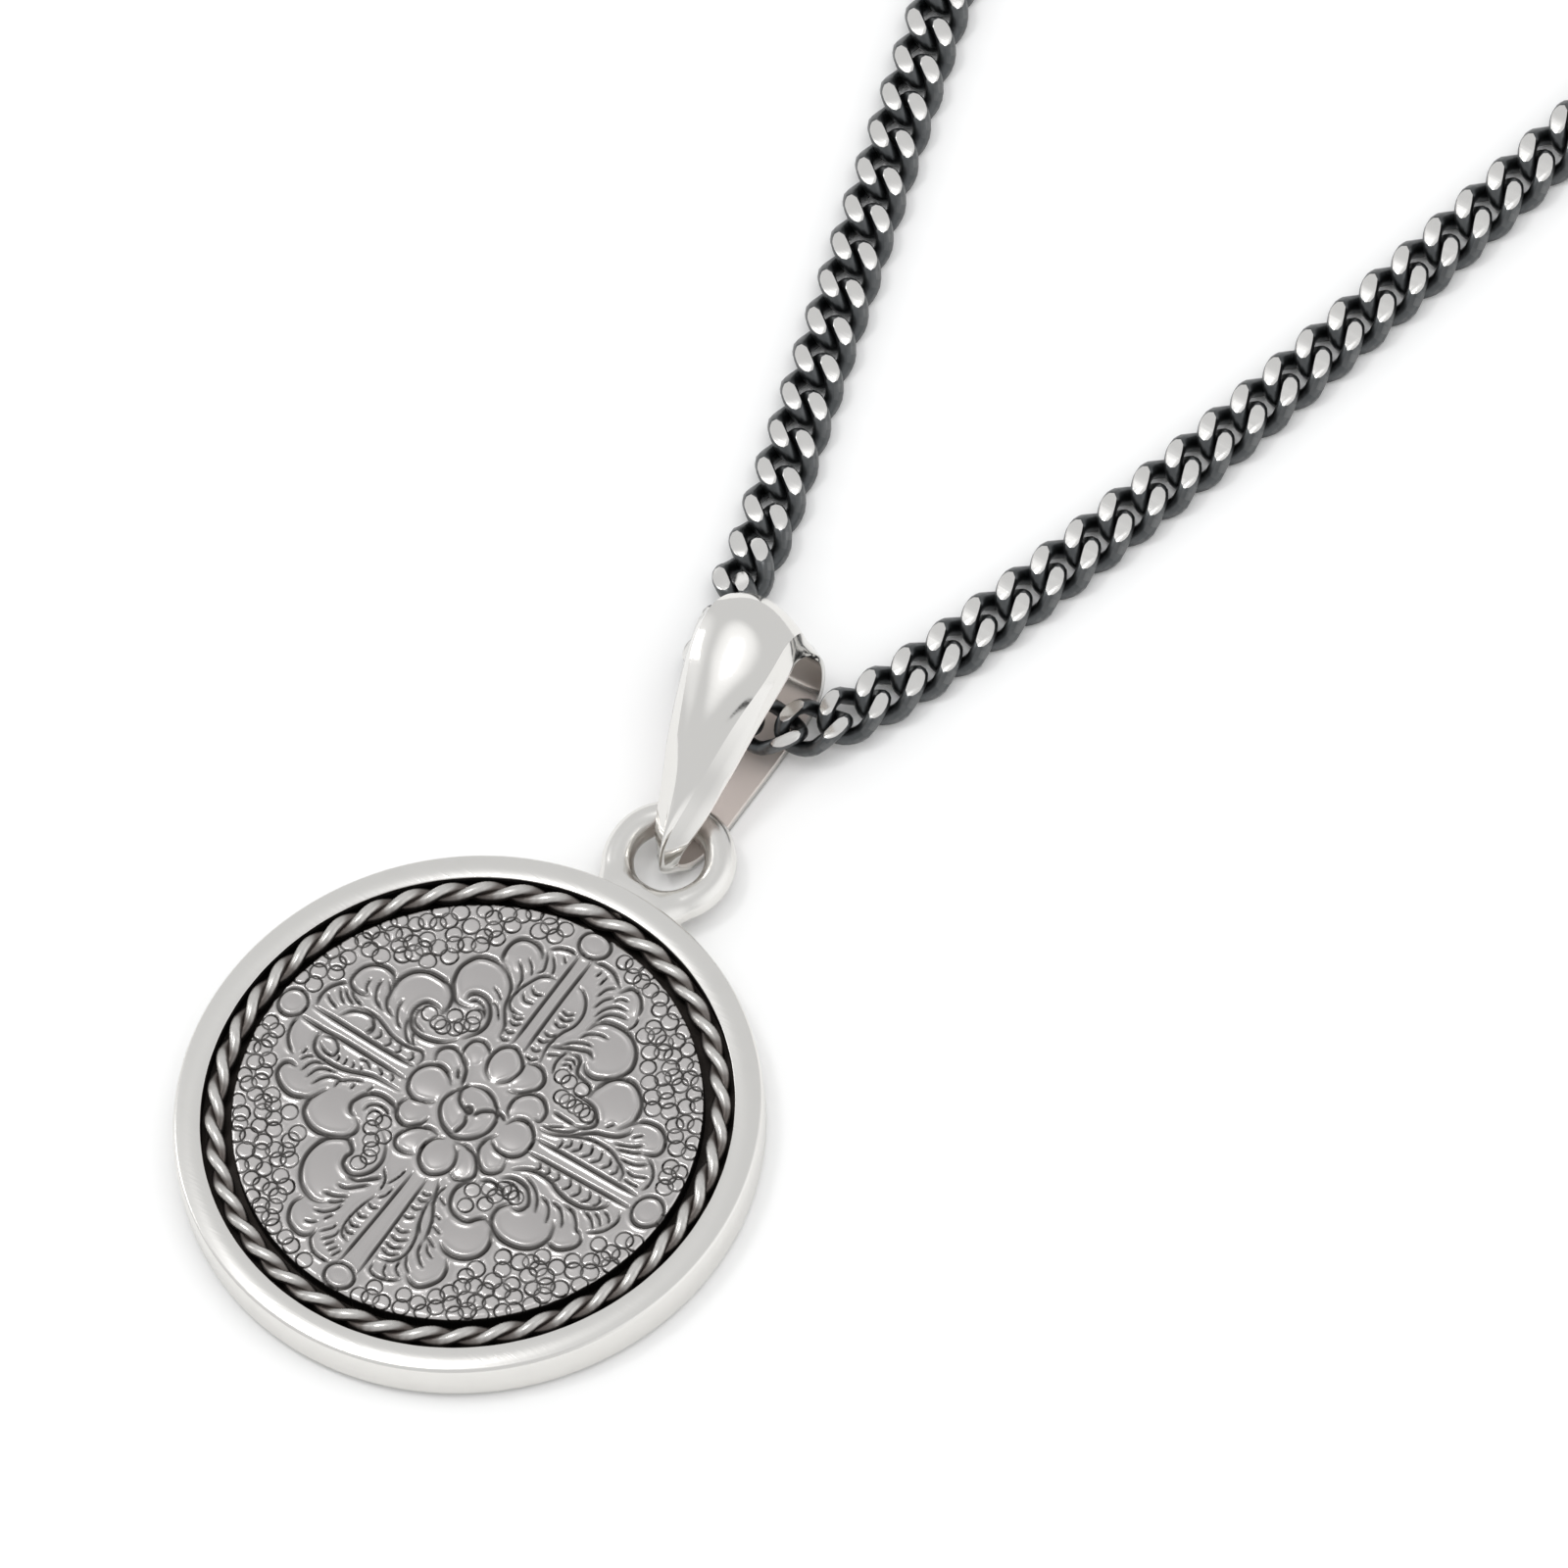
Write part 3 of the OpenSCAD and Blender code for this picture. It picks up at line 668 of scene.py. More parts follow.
def make_clasp(clasp_s, chain_ends):
    """A barrel with an eye at each end, and the rings that join the chain's last links to it."""
    at, aim = on_route(clasp_s), route_aim(clasp_s)
    lie = Matrix.Translation(Vector((at[0], at[1], BARREL_D / 2)) * MM) \
        @ Matrix.Rotation(math.atan2(aim[1], aim[0]), 4, "Z")
    bpy.ops.mesh.primitive_cylinder_add(vertices=64, radius=BARREL_D / 2 * MM,
                                        depth=BARREL_LEN * MM, rotation=(0, math.pi / 2, 0))
    barrel = bpy.context.object
    bpy.ops.object.transform_apply(rotation=True)
    # a recessed band on each side of the middle, its edges drawn in a hair
    inner, outer = 1.25, 1.6
    for spot in (-outer, -inner, inner, outer):
        edit(barrel)
        bpy.ops.mesh.bisect(plane_co=(spot * MM, 0, 0), plane_no=(1, 0, 0))
        done()
    p = spots(barrel)
    p[np.abs(np.abs(p[:, 0]) - 1.42) < 0.3, 1:] *= 0.999
    place(barrel, p)
    edit(barrel)
    bpy.ops.mesh.select_all(action="DESELECT")
    bpy.ops.object.mode_set(mode="OBJECT")
    for f in barrel.data.polygons:
        f.select = inner < abs(f.center.x / MM) < outer
    bpy.ops.object.mode_set(mode="EDIT")
    bpy.ops.mesh.extrude_region_shrink_fatten(TRANSFORM_OT_shrink_fatten={"value": -0.12 * MM})
    done()
    ends = barrel.modifiers.new("rounding", "BEVEL")
    ends.width, ends.segments, ends.limit_method = 0.1 * MM, 3, "ANGLE"
    ends.angle_limit = math.radians(50)
    pick(barrel)
    bpy.ops.object.modifier_apply(modifier="rounding")
    barrel.data.transform(lie)
    parts = [barrel]
    for side in (-1, 1):
        bpy.ops.mesh.primitive_torus_add(
            location=(side * (BARREL_LEN / 2 + EYE_R - EYE_WIRE / 4) * MM, 0, 0),
            major_radius=EYE_R * MM, minor_radius=EYE_WIRE / 2 * MM,
            major_segments=48, minor_segments=20)
        eye = bpy.context.object
        bpy.ops.object.transform_apply(location=True)
        eye.data.transform(lie)
        parts.append(eye)
    clasp = joined("clasp_barrel", parts)
    smooth(clasp, 35)
    dress(clasp, clasp_finish, "clasp_silver", "clasp")
    rings = []
    for s, side in zip(chain_ends, (-1, 1)):
        eye = np.array(lie @ Vector((side * (BARREL_LEN / 2 + 2 * EYE_R - 0.2) * MM, 0, 0))) / MM
        end = from_route(s, np.array([[-side * 0.95, 0, 0.4]]))[0]
        middle, way = (eye + end) / 2, eye - end
        half = np.linalg.norm(way) / 2 + 0.12
        middle[2] = max(middle[2], half + 0.3)
        bpy.ops.mesh.primitive_torus_add(major_radius=half * MM, minor_radius=0.27 * MM,
                                         major_segments=40, minor_segments=12)
        ring = bpy.context.object
        x = Vector(way).normalized()
        y = Vector(UP).cross(x).normalized()
        turned = Matrix((x, x.cross(y), -y)).transposed().to_4x4()
        ring.data.transform(Matrix.Translation(Vector(middle) * MM) @ turned)
        rings.append(ring)
    rings = joined("clasp_rings", rings)
    smooth(rings, 60)
    dress(rings, clasp_finish, "clasp_silver")


# Coin

# The coin is drawn in hundredths of a millimetre. Each line that the tool cuts is its
# width, then x and y of its points.
BARS = [
    (12, 12, 700, 15, 500, 24, 285), (12, -37, 700, -33, 500, -27, 290),
    (11, 257, 42, 396, 47, 564, 50, 675, 53), (11, 262, -14, 452, -7, 692, 2),
    (11, 40, -285, 50, -480, 58, -710), (11, -15, -290, -17, -500, -22, -710),
    (12, -675, 42, -508, 39, -374, 38, -250, 40),
    (12, -690, -11, -590, -14, -510, -10, -380, -13, -245, -15),
]
UPPER_RIGHT = [
    (11, 22, 700, 61, 708, 106, 700, 156, 666), (8, 64, 686, 59, 658), (8, 92, 680, 87, 636),
    (9, 142, 660, 117, 636, 106, 597), (9, 159, 627, 134, 597, 123, 557),
    (9, 229, 608, 184, 599, 156, 569, 145, 530), (10, 248, 583, 201, 574, 173, 552, 159, 513),
    (8, 212, 638, 184, 633, 165, 613),
    (12, 162, 650, 184, 683, 206, 688, 234, 675, 257, 647, 268, 613),
    (9, 273, 608, 279, 580, 271, 546),
    (14, 156, 474, 165, 507, 190, 532, 229, 543, 273, 542, 313, 527, 346, 496, 366, 452, 366, 418,
     349, 379, 313, 351, 279, 337, 251, 340, 232, 357, 226, 368),
    (9, 240, 485, 201, 482, 167, 463, 151, 435), (9, 212, 432, 179, 429, 145, 410, 117, 379),
    (12, 240, 395, 212, 408, 173, 396, 134, 379, 89, 354),
    (9, 151, 374, 142, 346, 140, 312, 156, 273), (9, 140, 346, 95, 323),
    (12, 156, 371, 184, 376, 206, 365, 218, 334, 234, 318, 268, 312, 301, 298, 313, 257),
    (8, 156, 340, 184, 354, 206, 340), (8, 162, 318, 184, 334, 206, 320),
    (12, 262, 251, 313, 254, 363, 240, 391, 209, 391, 184, 368, 162, 335, 153),
    (8, 363, 229, 379, 201, 368, 178), (10, 246, 159, 290, 156, 335, 156),
    (14, 313, 262, 315, 312, 340, 368, 368, 387, 402, 396, 441, 382, 480, 346, 494, 301, 494, 268,
     469, 223), (8, 449, 234, 430, 206),
    (12, 510, 251, 508, 229, 486, 201, 452, 184, 413, 170, 379, 142, 340, 112, 296, 89, 246, 78),
    (9, 363, 156, 335, 123, 285, 100, 246, 95), (8, 313, 131, 262, 100),
    (12, 499, 262, 519, 290, 552, 304, 592, 304, 625, 282, 642, 245, 636, 215, 614, 201, 592, 195),
    (8, 558, 251, 530, 223), (9, 580, 220, 558, 201, 525, 184, 491, 173),
    (9, 592, 195, 564, 178, 508, 159), (9, 636, 173, 608, 150, 575, 139, 536, 136),
    (10, 619, 190, 653, 170, 675, 139, 681, 106, 675, 78),
    (8, 667, 128, 642, 117, 614, 106, 580, 112), (8, 658, 81, 625, 78, 597, 81),
    (10, 329, 100, 363, 120, 407, 139, 452, 145, 502, 142, 541, 125, 580, 100, 592, 61),
    (9, 340, 89, 343, 40),
    (10, 33, 594, 61, 585, 89, 558, 109, 513, 109, 463, 89, 418, 81, 374, 81, 335, 98, 279),
]
LOWER_RIGHT = [
    (12, 262, -98, 296, -73, 340, -59, 396, -62, 435, -78, 486, -89, 541, -86, 580, -67, 608, -39,
     608, -20), (10, 664, -28, 675, -67, 664, -106, 647, -131, 614, -156),
    (8, 614, -56, 642, -67, 656, -89), (8, 592, -78, 619, -89, 639, -112),
    (8, 558, -92, 597, -106, 625, -134),
    (10, 486, -109, 530, -117, 558, -139, 580, -165, 603, -173),
    (12, 592, -164, 614, -190, 614, -217, 597, -242, 569, -262, 541, -262, 527, -254),
    (9, 446, -123, 486, -131, 513, -156, 533, -190),
    (9, 402, -125, 441, -139, 463, -167, 477, -203),
    (10, 312, -92, 363, -112, 396, -139, 424, -190),
    (14, 497, -181, 513, -212, 519, -251, 502, -296, 469, -323, 424, -335, 374, -332, 335, -312,
     310, -279, 307, -245, 324, -217, 346, -203),
    (13, 346, -217, 374, -212, 385, -184, 374, -156, 346, -128, 307, -120, 273, -128, 251, -145),
    (8, 262, -156, 285, -142, 312, -145, 340, -167, 352, -190),
    (10, 195, -195, 218, -176, 251, -173, 279, -178, 301, -195),
    (14, 201, -200, 167, -217, 145, -251, 145, -284, 162, -318, 190, -340, 229, -348, 257, -340,
     273, -318, 296, -300, 329, -312),
    (14, 335, -323, 360, -357, 368, -396, 357, -435, 329, -463, 290, -477, 251, -474, 223, -457),
    (8, 117, -318, 156, -334), (8, 145, -379, 173, -387), (9, 162, -418, 206, -432),
    (9, 173, -463, 218, -485),
    (12, 78, -268, 95, -301, 117, -351, 145, -396, 162, -440, 173, -485),
    (8, 112, -273, 106, -312, 112, -362), (10, 100, -385, 117, -429, 145, -468),
    (12, 279, -496, 301, -530, 307, -569, 290, -608, 262, -636, 229, -636, 201, -619),
    (10, 167, -485, 179, -524, 206, -552, 234, -569), (9, 190, -485, 206, -507, 240, -524),
    (9, 156, -552, 173, -586, 206, -613),
    (10, 95, -307, 100, -374, 117, -435, 140, -485, 151, -541, 145, -580, 123, -608, 73, -619),
    (9, 78, -641, 84, -669, 106, -680, 134, -680, 173, -664, 195, -644),
    (8, 117, -619, 128, -652, 156, -669), (8, 151, -586, 156, -619, 190, -641),
]
LOWER_LEFT = [
    (12, -592, -22, -597, -50, -580, -84, -547, -103, -502, -106, -458, -103, -419, -92, -374, -75,
     -329, -64, -240, -62), (9, -580, -33, -541, -22, -508, -45, -508, -78, -541, -78, -575, -56),
    (8, -424, -39, -396, -33, -368, -50), (8, -352, -28, -329, -39, -329, -53),
    (8, -301, -22, -285, -33, -285, -50),
    (11, -692, -17, -697, -50, -686, -89, -658, -123, -625, -145), (8, -597, -100, -600, -128),
    (8, -558, -112, -580, -128, -592, -150), (9, -508, -117, -541, -128, -558, -150, -564, -184),
    (9, -458, -123, -502, -134, -525, -156, -533, -195),
    (9, -407, -134, -463, -145, -491, -173, -502, -206),
    (8, -357, -100, -396, -117, -430, -145, -432, -173), (8, -379, -123, -382, -148),
    (8, -321, -95, -329, -128),
    (13, -586, -178, -614, -176, -633, -195, -631, -229, -603, -256, -569, -273, -530, -276, -491,
     -259, -472, -240),
    (14, -446, -190, -463, -223, -474, -256, -469, -295, -441, -323, -402, -340, -357, -340, -312,
     -323, -282, -301, -271, -273, -276, -245, -296, -229),
    (14, -307, -226, -329, -217, -346, -190, -338, -156, -318, -128, -285, -112, -246, -112, -212,
     -123, -204, -145), (9, -296, -190, -290, -162, -262, -145, -229, -148, -212, -162),
    (8, -273, -195, -268, -173, -246, -167),
    (14, -200, -217, -162, -245, -140, -279, -128, -318, -134, -362, -156, -396, -190, -412, -229,
     -396, -240, -368, -234, -346, -246, -323, -279, -309, -318, -329, -346, -362, -357, -407,
     -354, -452, -335, -496, -301, -535, -257, -557, -218, -557, -190, -541),
    (12, -190, -426, -151, -418, -112, -385, -89, -362),
    (10, -201, -468, -167, -463, -134, -435, -106, -407), (10, -223, -518, -179, -507, -140, -485),
    (9, -190, -541, -162, -524, -142, -502), (9, -212, -591, -179, -580, -151, -552, -140, -518),
    (8, -162, -602, -142, -569),
    (12, -268, -569, -285, -602, -279, -636, -257, -669, -223, -688, -190, -691, -165, -675, -159,
     -647), (8, -212, -641, -190, -636, -170, -619),
    (10, -156, -652, -156, -680, -140, -702, -112, -722, -73, -727, -39, -725),
    (8, -123, -669, -95, -635, -89, -602), (8, -100, -680, -78, -647), (8, -78, -691, -56, -658),
    (8, -56, -702, -39, -663), (8, -145, -647, -117, -613, -112, -591),
    (9, -67, -429, -84, -485, -92, -541, -89, -586, -73, -613, -39, -627),
    (8, -89, -340, -73, -374, -67, -407), (8, -39, -296, -45, -334, -61, -374),
    (8, -106, -330, -78, -362), (8, -33, -374, -39, -412, -56, -435),
]
UPPER_LEFT = [
    (10, -580, 61, -558, 95, -525, 114, -485, 117, -463, 100, -452, 73, -460, 50),
    (10, -569, 109, -525, 125, -474, 125, -430, 112, -385, 95, -335, 89, -296, 95, -262, 100, -246,
     78, -246, 45), (12, -670, 50, -681, 89, -675, 128, -653, 162, -631, 178),
    (8, -664, 106, -636, 89, -603, 78), (9, -642, 150, -619, 123, -592, 106),
    (9, -625, 156, -597, 134, -564, 120), (9, -603, 162, -575, 142, -536, 132),
    (12, -502, 257, -513, 284, -536, 296, -569, 296, -603, 279, -625, 251, -633, 217, -628, 190,
     -603, 170, -575, 167, -541, 178), (8, -575, 234, -569, 201, -547, 178),
    (10, -539, 251, -536, 217, -513, 178, -469, 156),
    (10, -519, 262, -491, 229, -485, 201, -463, 173, -424, 156),
    (14, -463, 178, -485, 212, -494, 257, -491, 296, -469, 335, -430, 360, -385, 365, -340, 360,
     -307, 335, -293, 301, -293, 268, -301, 245),
    (13, -301, 268, -335, 270, -363, 262, -379, 234, -379, 201, -357, 167, -329, 150, -290, 148,
     -246, 159, -212, 178, -190, 206), (9, -352, 251, -365, 223, -360, 195, -340, 175, -301, 164),
    (9, -435, 229, -430, 190, -402, 150, -374, 134),
    (10, -379, 184, -368, 150, -340, 117, -307, 100), (9, -335, 150, -318, 123, -296, 100),
    (14, -206, 502, -240, 518, -279, 518, -318, 502, -340, 468, -349, 429, -338, 385, -312, 351,
     -285, 323, -257, 321, -223, 329),
    (14, -257, 346, -257, 368, -234, 385, -201, 385, -173, 368, -151, 335, -142, 296, -153, 257,
     -179, 217), (9, -246, 346, -218, 362, -184, 351, -162, 318),
    (8, -212, 335, -184, 340, -162, 323),
    (12, -246, 535, -201, 507, -167, 479, -145, 440, -134, 401, -112, 368, -89, 335, -78, 290),
    (10, -195, 563, -167, 541, -145, 507, -137, 463), (8, -173, 591, -145, 569, -128, 541),
    (8, -206, 435, -179, 424, -156, 407), (8, -179, 390, -151, 379, -117, 340),
    (13, -134, 613, -151, 636, -179, 649, -212, 649, -240, 636, -257, 608, -259, 574, -251, 546,
     -234, 530), (9, -134, 647, -117, 613, -106, 580, -117, 558),
    (10, -134, 658, -106, 680, -73, 691, -45, 688), (8, -78, 663, -56, 641),
    (9, -112, 647, -84, 613, -70, 580),
    (10, -45, 574, -73, 571, -100, 552, -117, 518, -131, 474, -131, 429, -112, 401, -89, 396, -61,
     401),
]
LINES = BARS + UPPER_RIGHT + LOWER_RIGHT + LOWER_LEFT + UPPER_LEFT

# Rows of short ribs in the pods beside the bars: width, curl, then x and y of both ends of each
RIBS = [
    (9, 10, 86, 502, 39, 491, 95, 485, 39, 468, 92, 452, 42, 440, 84, 407, 36, 390, 75, 374, 31,
     357, 73, 329, 33, 318, 84, 298, 36, 282),
    (9, 10, 363, 106, 357, 67, 396, 120, 385, 67, 435, 128, 424, 67, 474, 128, 463, 67, 513, 125,
     508, 70, 550, 112, 547, 67),
    (9, 10, 324, -22, 326, -61, 360, -20, 363, -59, 399, -17, 399, -64, 446, -14, 446, -70, 488,
     -17, 486, -75, 530, -17, 527, -75, 569, -17, 569, -67),
    (9, 8, 92, -323, 56, -334, 95, -351, 56, -360, 98, -385, 53, -396, 95, -424, 53, -440, 114,
     -479, 56, -491, 128, -507, 61, -524, 131, -541, 64, -555, 137, -569, 64, -580),
    (8, 3, -491, -61, -485, -89, -463, -56, -458, -89, -435, -56, -424, -84, -405, -56, -391, -75),
    (9, 10, -480, 112, -469, 56, -430, 95, -430, 50, -385, 89, -385, 45, -340, 84, -340, 42, -290,
     84, -285, 42),
    (9, 10, -45, 502, -100, 507, -55, 457, -112, 474, -50, 396, -95, 385, -42, 374, -89, 362, -42,
     335, -84, 329, -42, 300, -80, 298),
    (9, 10, -28, -465, -73, -463, -39, -513, -84, -513, -39, -557, -89, -552, -39, -590, -85, -580),
]

# Petals of the rosette, each a dome (x, y, half width, half height) inside an open line
PETALS = [
    (0, 210, 52, 72), (100, 205, 50, 62), (165, 120, 55, 55), (195, 5, 62, 68),
    (170, -100, 52, 52), (105, -170, 50, 50), (20, -190, 60, 68), (-90, -185, 46, 50),
    (-150, -105, 50, 52), (-170, 20, 68, 68), (-165, 125, 48, 42), (-110, 195, 42, 48),
]
PETAL_LINES = [
    (-8, 138, -42, 165, -58, 210, -50, 255, -20, 282, 12, 280, 46, 256, 62, 220, 50, 175, 22, 142),
    (60, 260, 95, 272, 130, 262, 152, 230, 146, 192, 115, 155, 70, 137),
    (135, 55, 112, 80, 106, 120, 125, 155, 160, 178, 195, 174, 226, 145, 230, 105, 210, 98),
    (142, 30, 155, 60, 185, 76, 220, 70, 250, 40, 260, 0, 250, -40, 220, -65, 180, -68, 150, -55,
     132, -38),
    (140, -20, 120, -50, 115, -85, 135, -120, 175, -156, 210, -150, 230, -120, 220, -75),
    (35, -120, 70, -110, 115, -120, 150, -150, 166, -190, 150, -220, 120, -234, 90, -225),
    (0, -127, -30, -145, -45, -185, -35, -230, 0, -260, 36, -265, 70, -240, 85, -200, 70, -156, 40,
     -130),
    (-20, -130, -60, -122, -95, -138, -130, -175, -145, -210, -125, -240, -90, -246, -50, -232),
    (-195, -65, -210, -100, -195, -140, -160, -160, -130, -155, -102, -125, -96, -92),
    (-105, 50, -130, 75, -170, 90, -210, 75, -236, 40, -240, 0, -220, -40, -180, -60, -140, -50,
     -110, -30),
    (-205, 95, -220, 130, -205, 160, -175, 172, -140, 160, -100, 130, -80, 85, -70, 65),
    (-140, 162, -150, 195, -140, 230, -110, 245, -80, 235, -62, 215), (-122, 115, -100, 84),
]
# The bead on each bar
BEADS = [
    (740, 22, 53, 60), (-15, 752, 57, 50), (-743, 15, 50, 53), (12, -748, 54, 47),
]
# Lobes that are beaten up from the field, without a line of their own
LOBES = [
    (272, 440, 90, 100), (405, 305, 88, 85), (215, 635, 50, 50), (572, 250, 62, 50),
    (410, -255, 100, 75), (275, -390, 88, 82), (560, -210, 52, 50), (245, -565, 58, 68),
    (-375, -250, 95, 85), (-270, -435, 82, 115), (-550, -220, 78, 50), (-220, -625, 60, 60),
    (-395, 275, 92, 85), (-260, 430, 85, 88), (-570, 230, 58, 60), (-190, 585, 62, 60),
]
# Ring punches inside the scrolls
SCROLL_RINGS = [
    190, 285, 223, 280, 276, 280, 235, 220, 262, 218, 296, 215, 324, 215, 350, 210, 279, -173,
    307, -173, 335, -178, 195, -235, 262, -254, 209, -295, 240, -200, 273, -212, -246, -195,
    -212, -190, -234, -229, -179, -234, -207, -268, -184, -296, -175, -325, -190, -362, -329, 234,
    -285, 223, -262, 217, -223, 234, -251, 273, -184, 279, -210, 255, -195, 305,
]
# Outer edge of the scrolls, beyond which the ground is filled with rings: degrees, millimetres
GROUND_FROM = [
    -3.5, 8, 6.5, 8, 8, 7, 13, 6.95, 17, 6.7, 20, 6.95, 26, 6.9, 29.5, 6.4, 31, 6.05, 40, 6,
    45, 5.7, 47, 5.6, 52, 6.1, 58, 6.25, 63, 6.25, 66, 6.9, 71, 7.3, 75, 7.25, 78, 6.95, 86, 7.1,
    87, 8, 95.5, 8, 97, 7, 101, 6.85, 105, 6.85, 110.7, 6.95, 114, 6.6, 115.5, 6.1, 120, 6,
    126, 5.9, 131, 5.55, 135, 5.4, 140, 5.7, 148, 5.85, 151, 6.2, 154, 6.6, 158, 6.85, 162, 6.8,
    165, 6.7, 170, 6.95, 173.5, 7, 174.5, 8, 183.5, 8, 184.5, 7.1, 188, 7, 191, 6.75, 194, 6.5,
    197, 6.7, 201, 6.8, 204, 6.65, 207, 6.3, 209, 5.75, 213, 5.65, 218, 5.55, 222, 5.3, 225, 5.15,
    228, 5.45, 232, 5.9, 237, 6.2, 242, 6.35, 244, 6.8, 247, 7.1, 250, 7.35, 255, 7.4, 258, 7.25,
    261, 7.45, 265, 7.5, 266.5, 8, 275, 8, 276, 7, 279, 7, 284, 7.05, 287, 6.9, 292, 7, 296, 6.9,
    299, 6.6, 301, 6, 305, 5.85, 310, 5.8, 314, 5.6, 317, 5.25, 321, 5.55, 325, 5.85, 330, 6,
    333.5, 6, 336, 6.5, 340, 6.7, 343, 6.65, 346, 6.5, 349, 6.8, 353, 6.95, 356, 6.95, 357, 8,
]
# The button in the middle: its edge, and the three curls on it
BUTTON = [
    (-50, 86, 0, 100, 50, 86, 90, 50, 105, 10, 100, -40, 70, -80, 30, -104, -10, -100, -50, -80,
     -85, -40, -93, 0, -75, 45, -50, 86), (-48, 88, -62, 60, -50, 25, -25, 5, 5, -6),
    (10, -15, 22, -50, 13, -95), (30, -8, 42, 20, 70, 42, 105, 50, 130, 40),
]


def hundredths(numbers, count=2):
    """A run of hundredths as rows of so many millimetres each."""
    return np.reshape(numbers, (-1, count)) / 100


def ring_spots():
    """The ring punches in lays, in each of which the rings keep clear of each other."""
    rng = np.random.default_rng(11)
    tries, smallest, largest, field_r = 9000, 0.27, 0.31, 7.7
    clear, reach = 0.22, 2.2
    angles, radii = np.reshape(GROUND_FROM, (-1, 2)).T
    lays = [[] for _ in RING_LAYS]

    def strike(x, y, radius, apart):
        if any(math.hypot(x - u, y - v) < apart for lay in lays for u, v, _ in lay):
            return
        for lay in lays:
            if all(math.hypot(x - u, y - v) > radius + q + 0.04 for u, v, q in lay):
                lay.append((x, y, radius))
                return

    for x, y in hundredths(SCROLL_RINGS):
        strike(x, y, smallest, 0.1)
    for _ in range(tries):
        r, a = COIN_R * math.sqrt(rng.uniform(0.4, 0.975)), rng.uniform(-3.5, 356.5)
        beside = [np.interp(a + da, angles, radii, period=360) for da in (-reach, 0, reach)]
        x, y = r * math.cos(math.radians(a)), r * math.sin(math.radians(a))
        apart = rng.choice((0.36, 0.5, 0.58))
        radius = rng.uniform(smallest, largest)
        # clear of the scrolls, and not on the bars' ends
        if r > max(beside) + clear and min(beside) < field_r:
            strike(x, y, radius, apart)
    return lays


# How high the work is beaten up from the field
RING_DOME, LOBE_DOME, PETAL_DOME, BUTTON_DOME, BEAD_DOME = 0.022, 0.045, 0.08, 0.09, 0.05
HIGHEST = 0.14
# How wide its lines are cut
RING_LINE, PETAL_LINE, BUTTON_LINE, BEAD_LINE = 0.08, 0.12, 0.13, 0.11
NAVEL_X, NAVEL_Y, NAVEL_R = 0.07, 0.03, 0.12


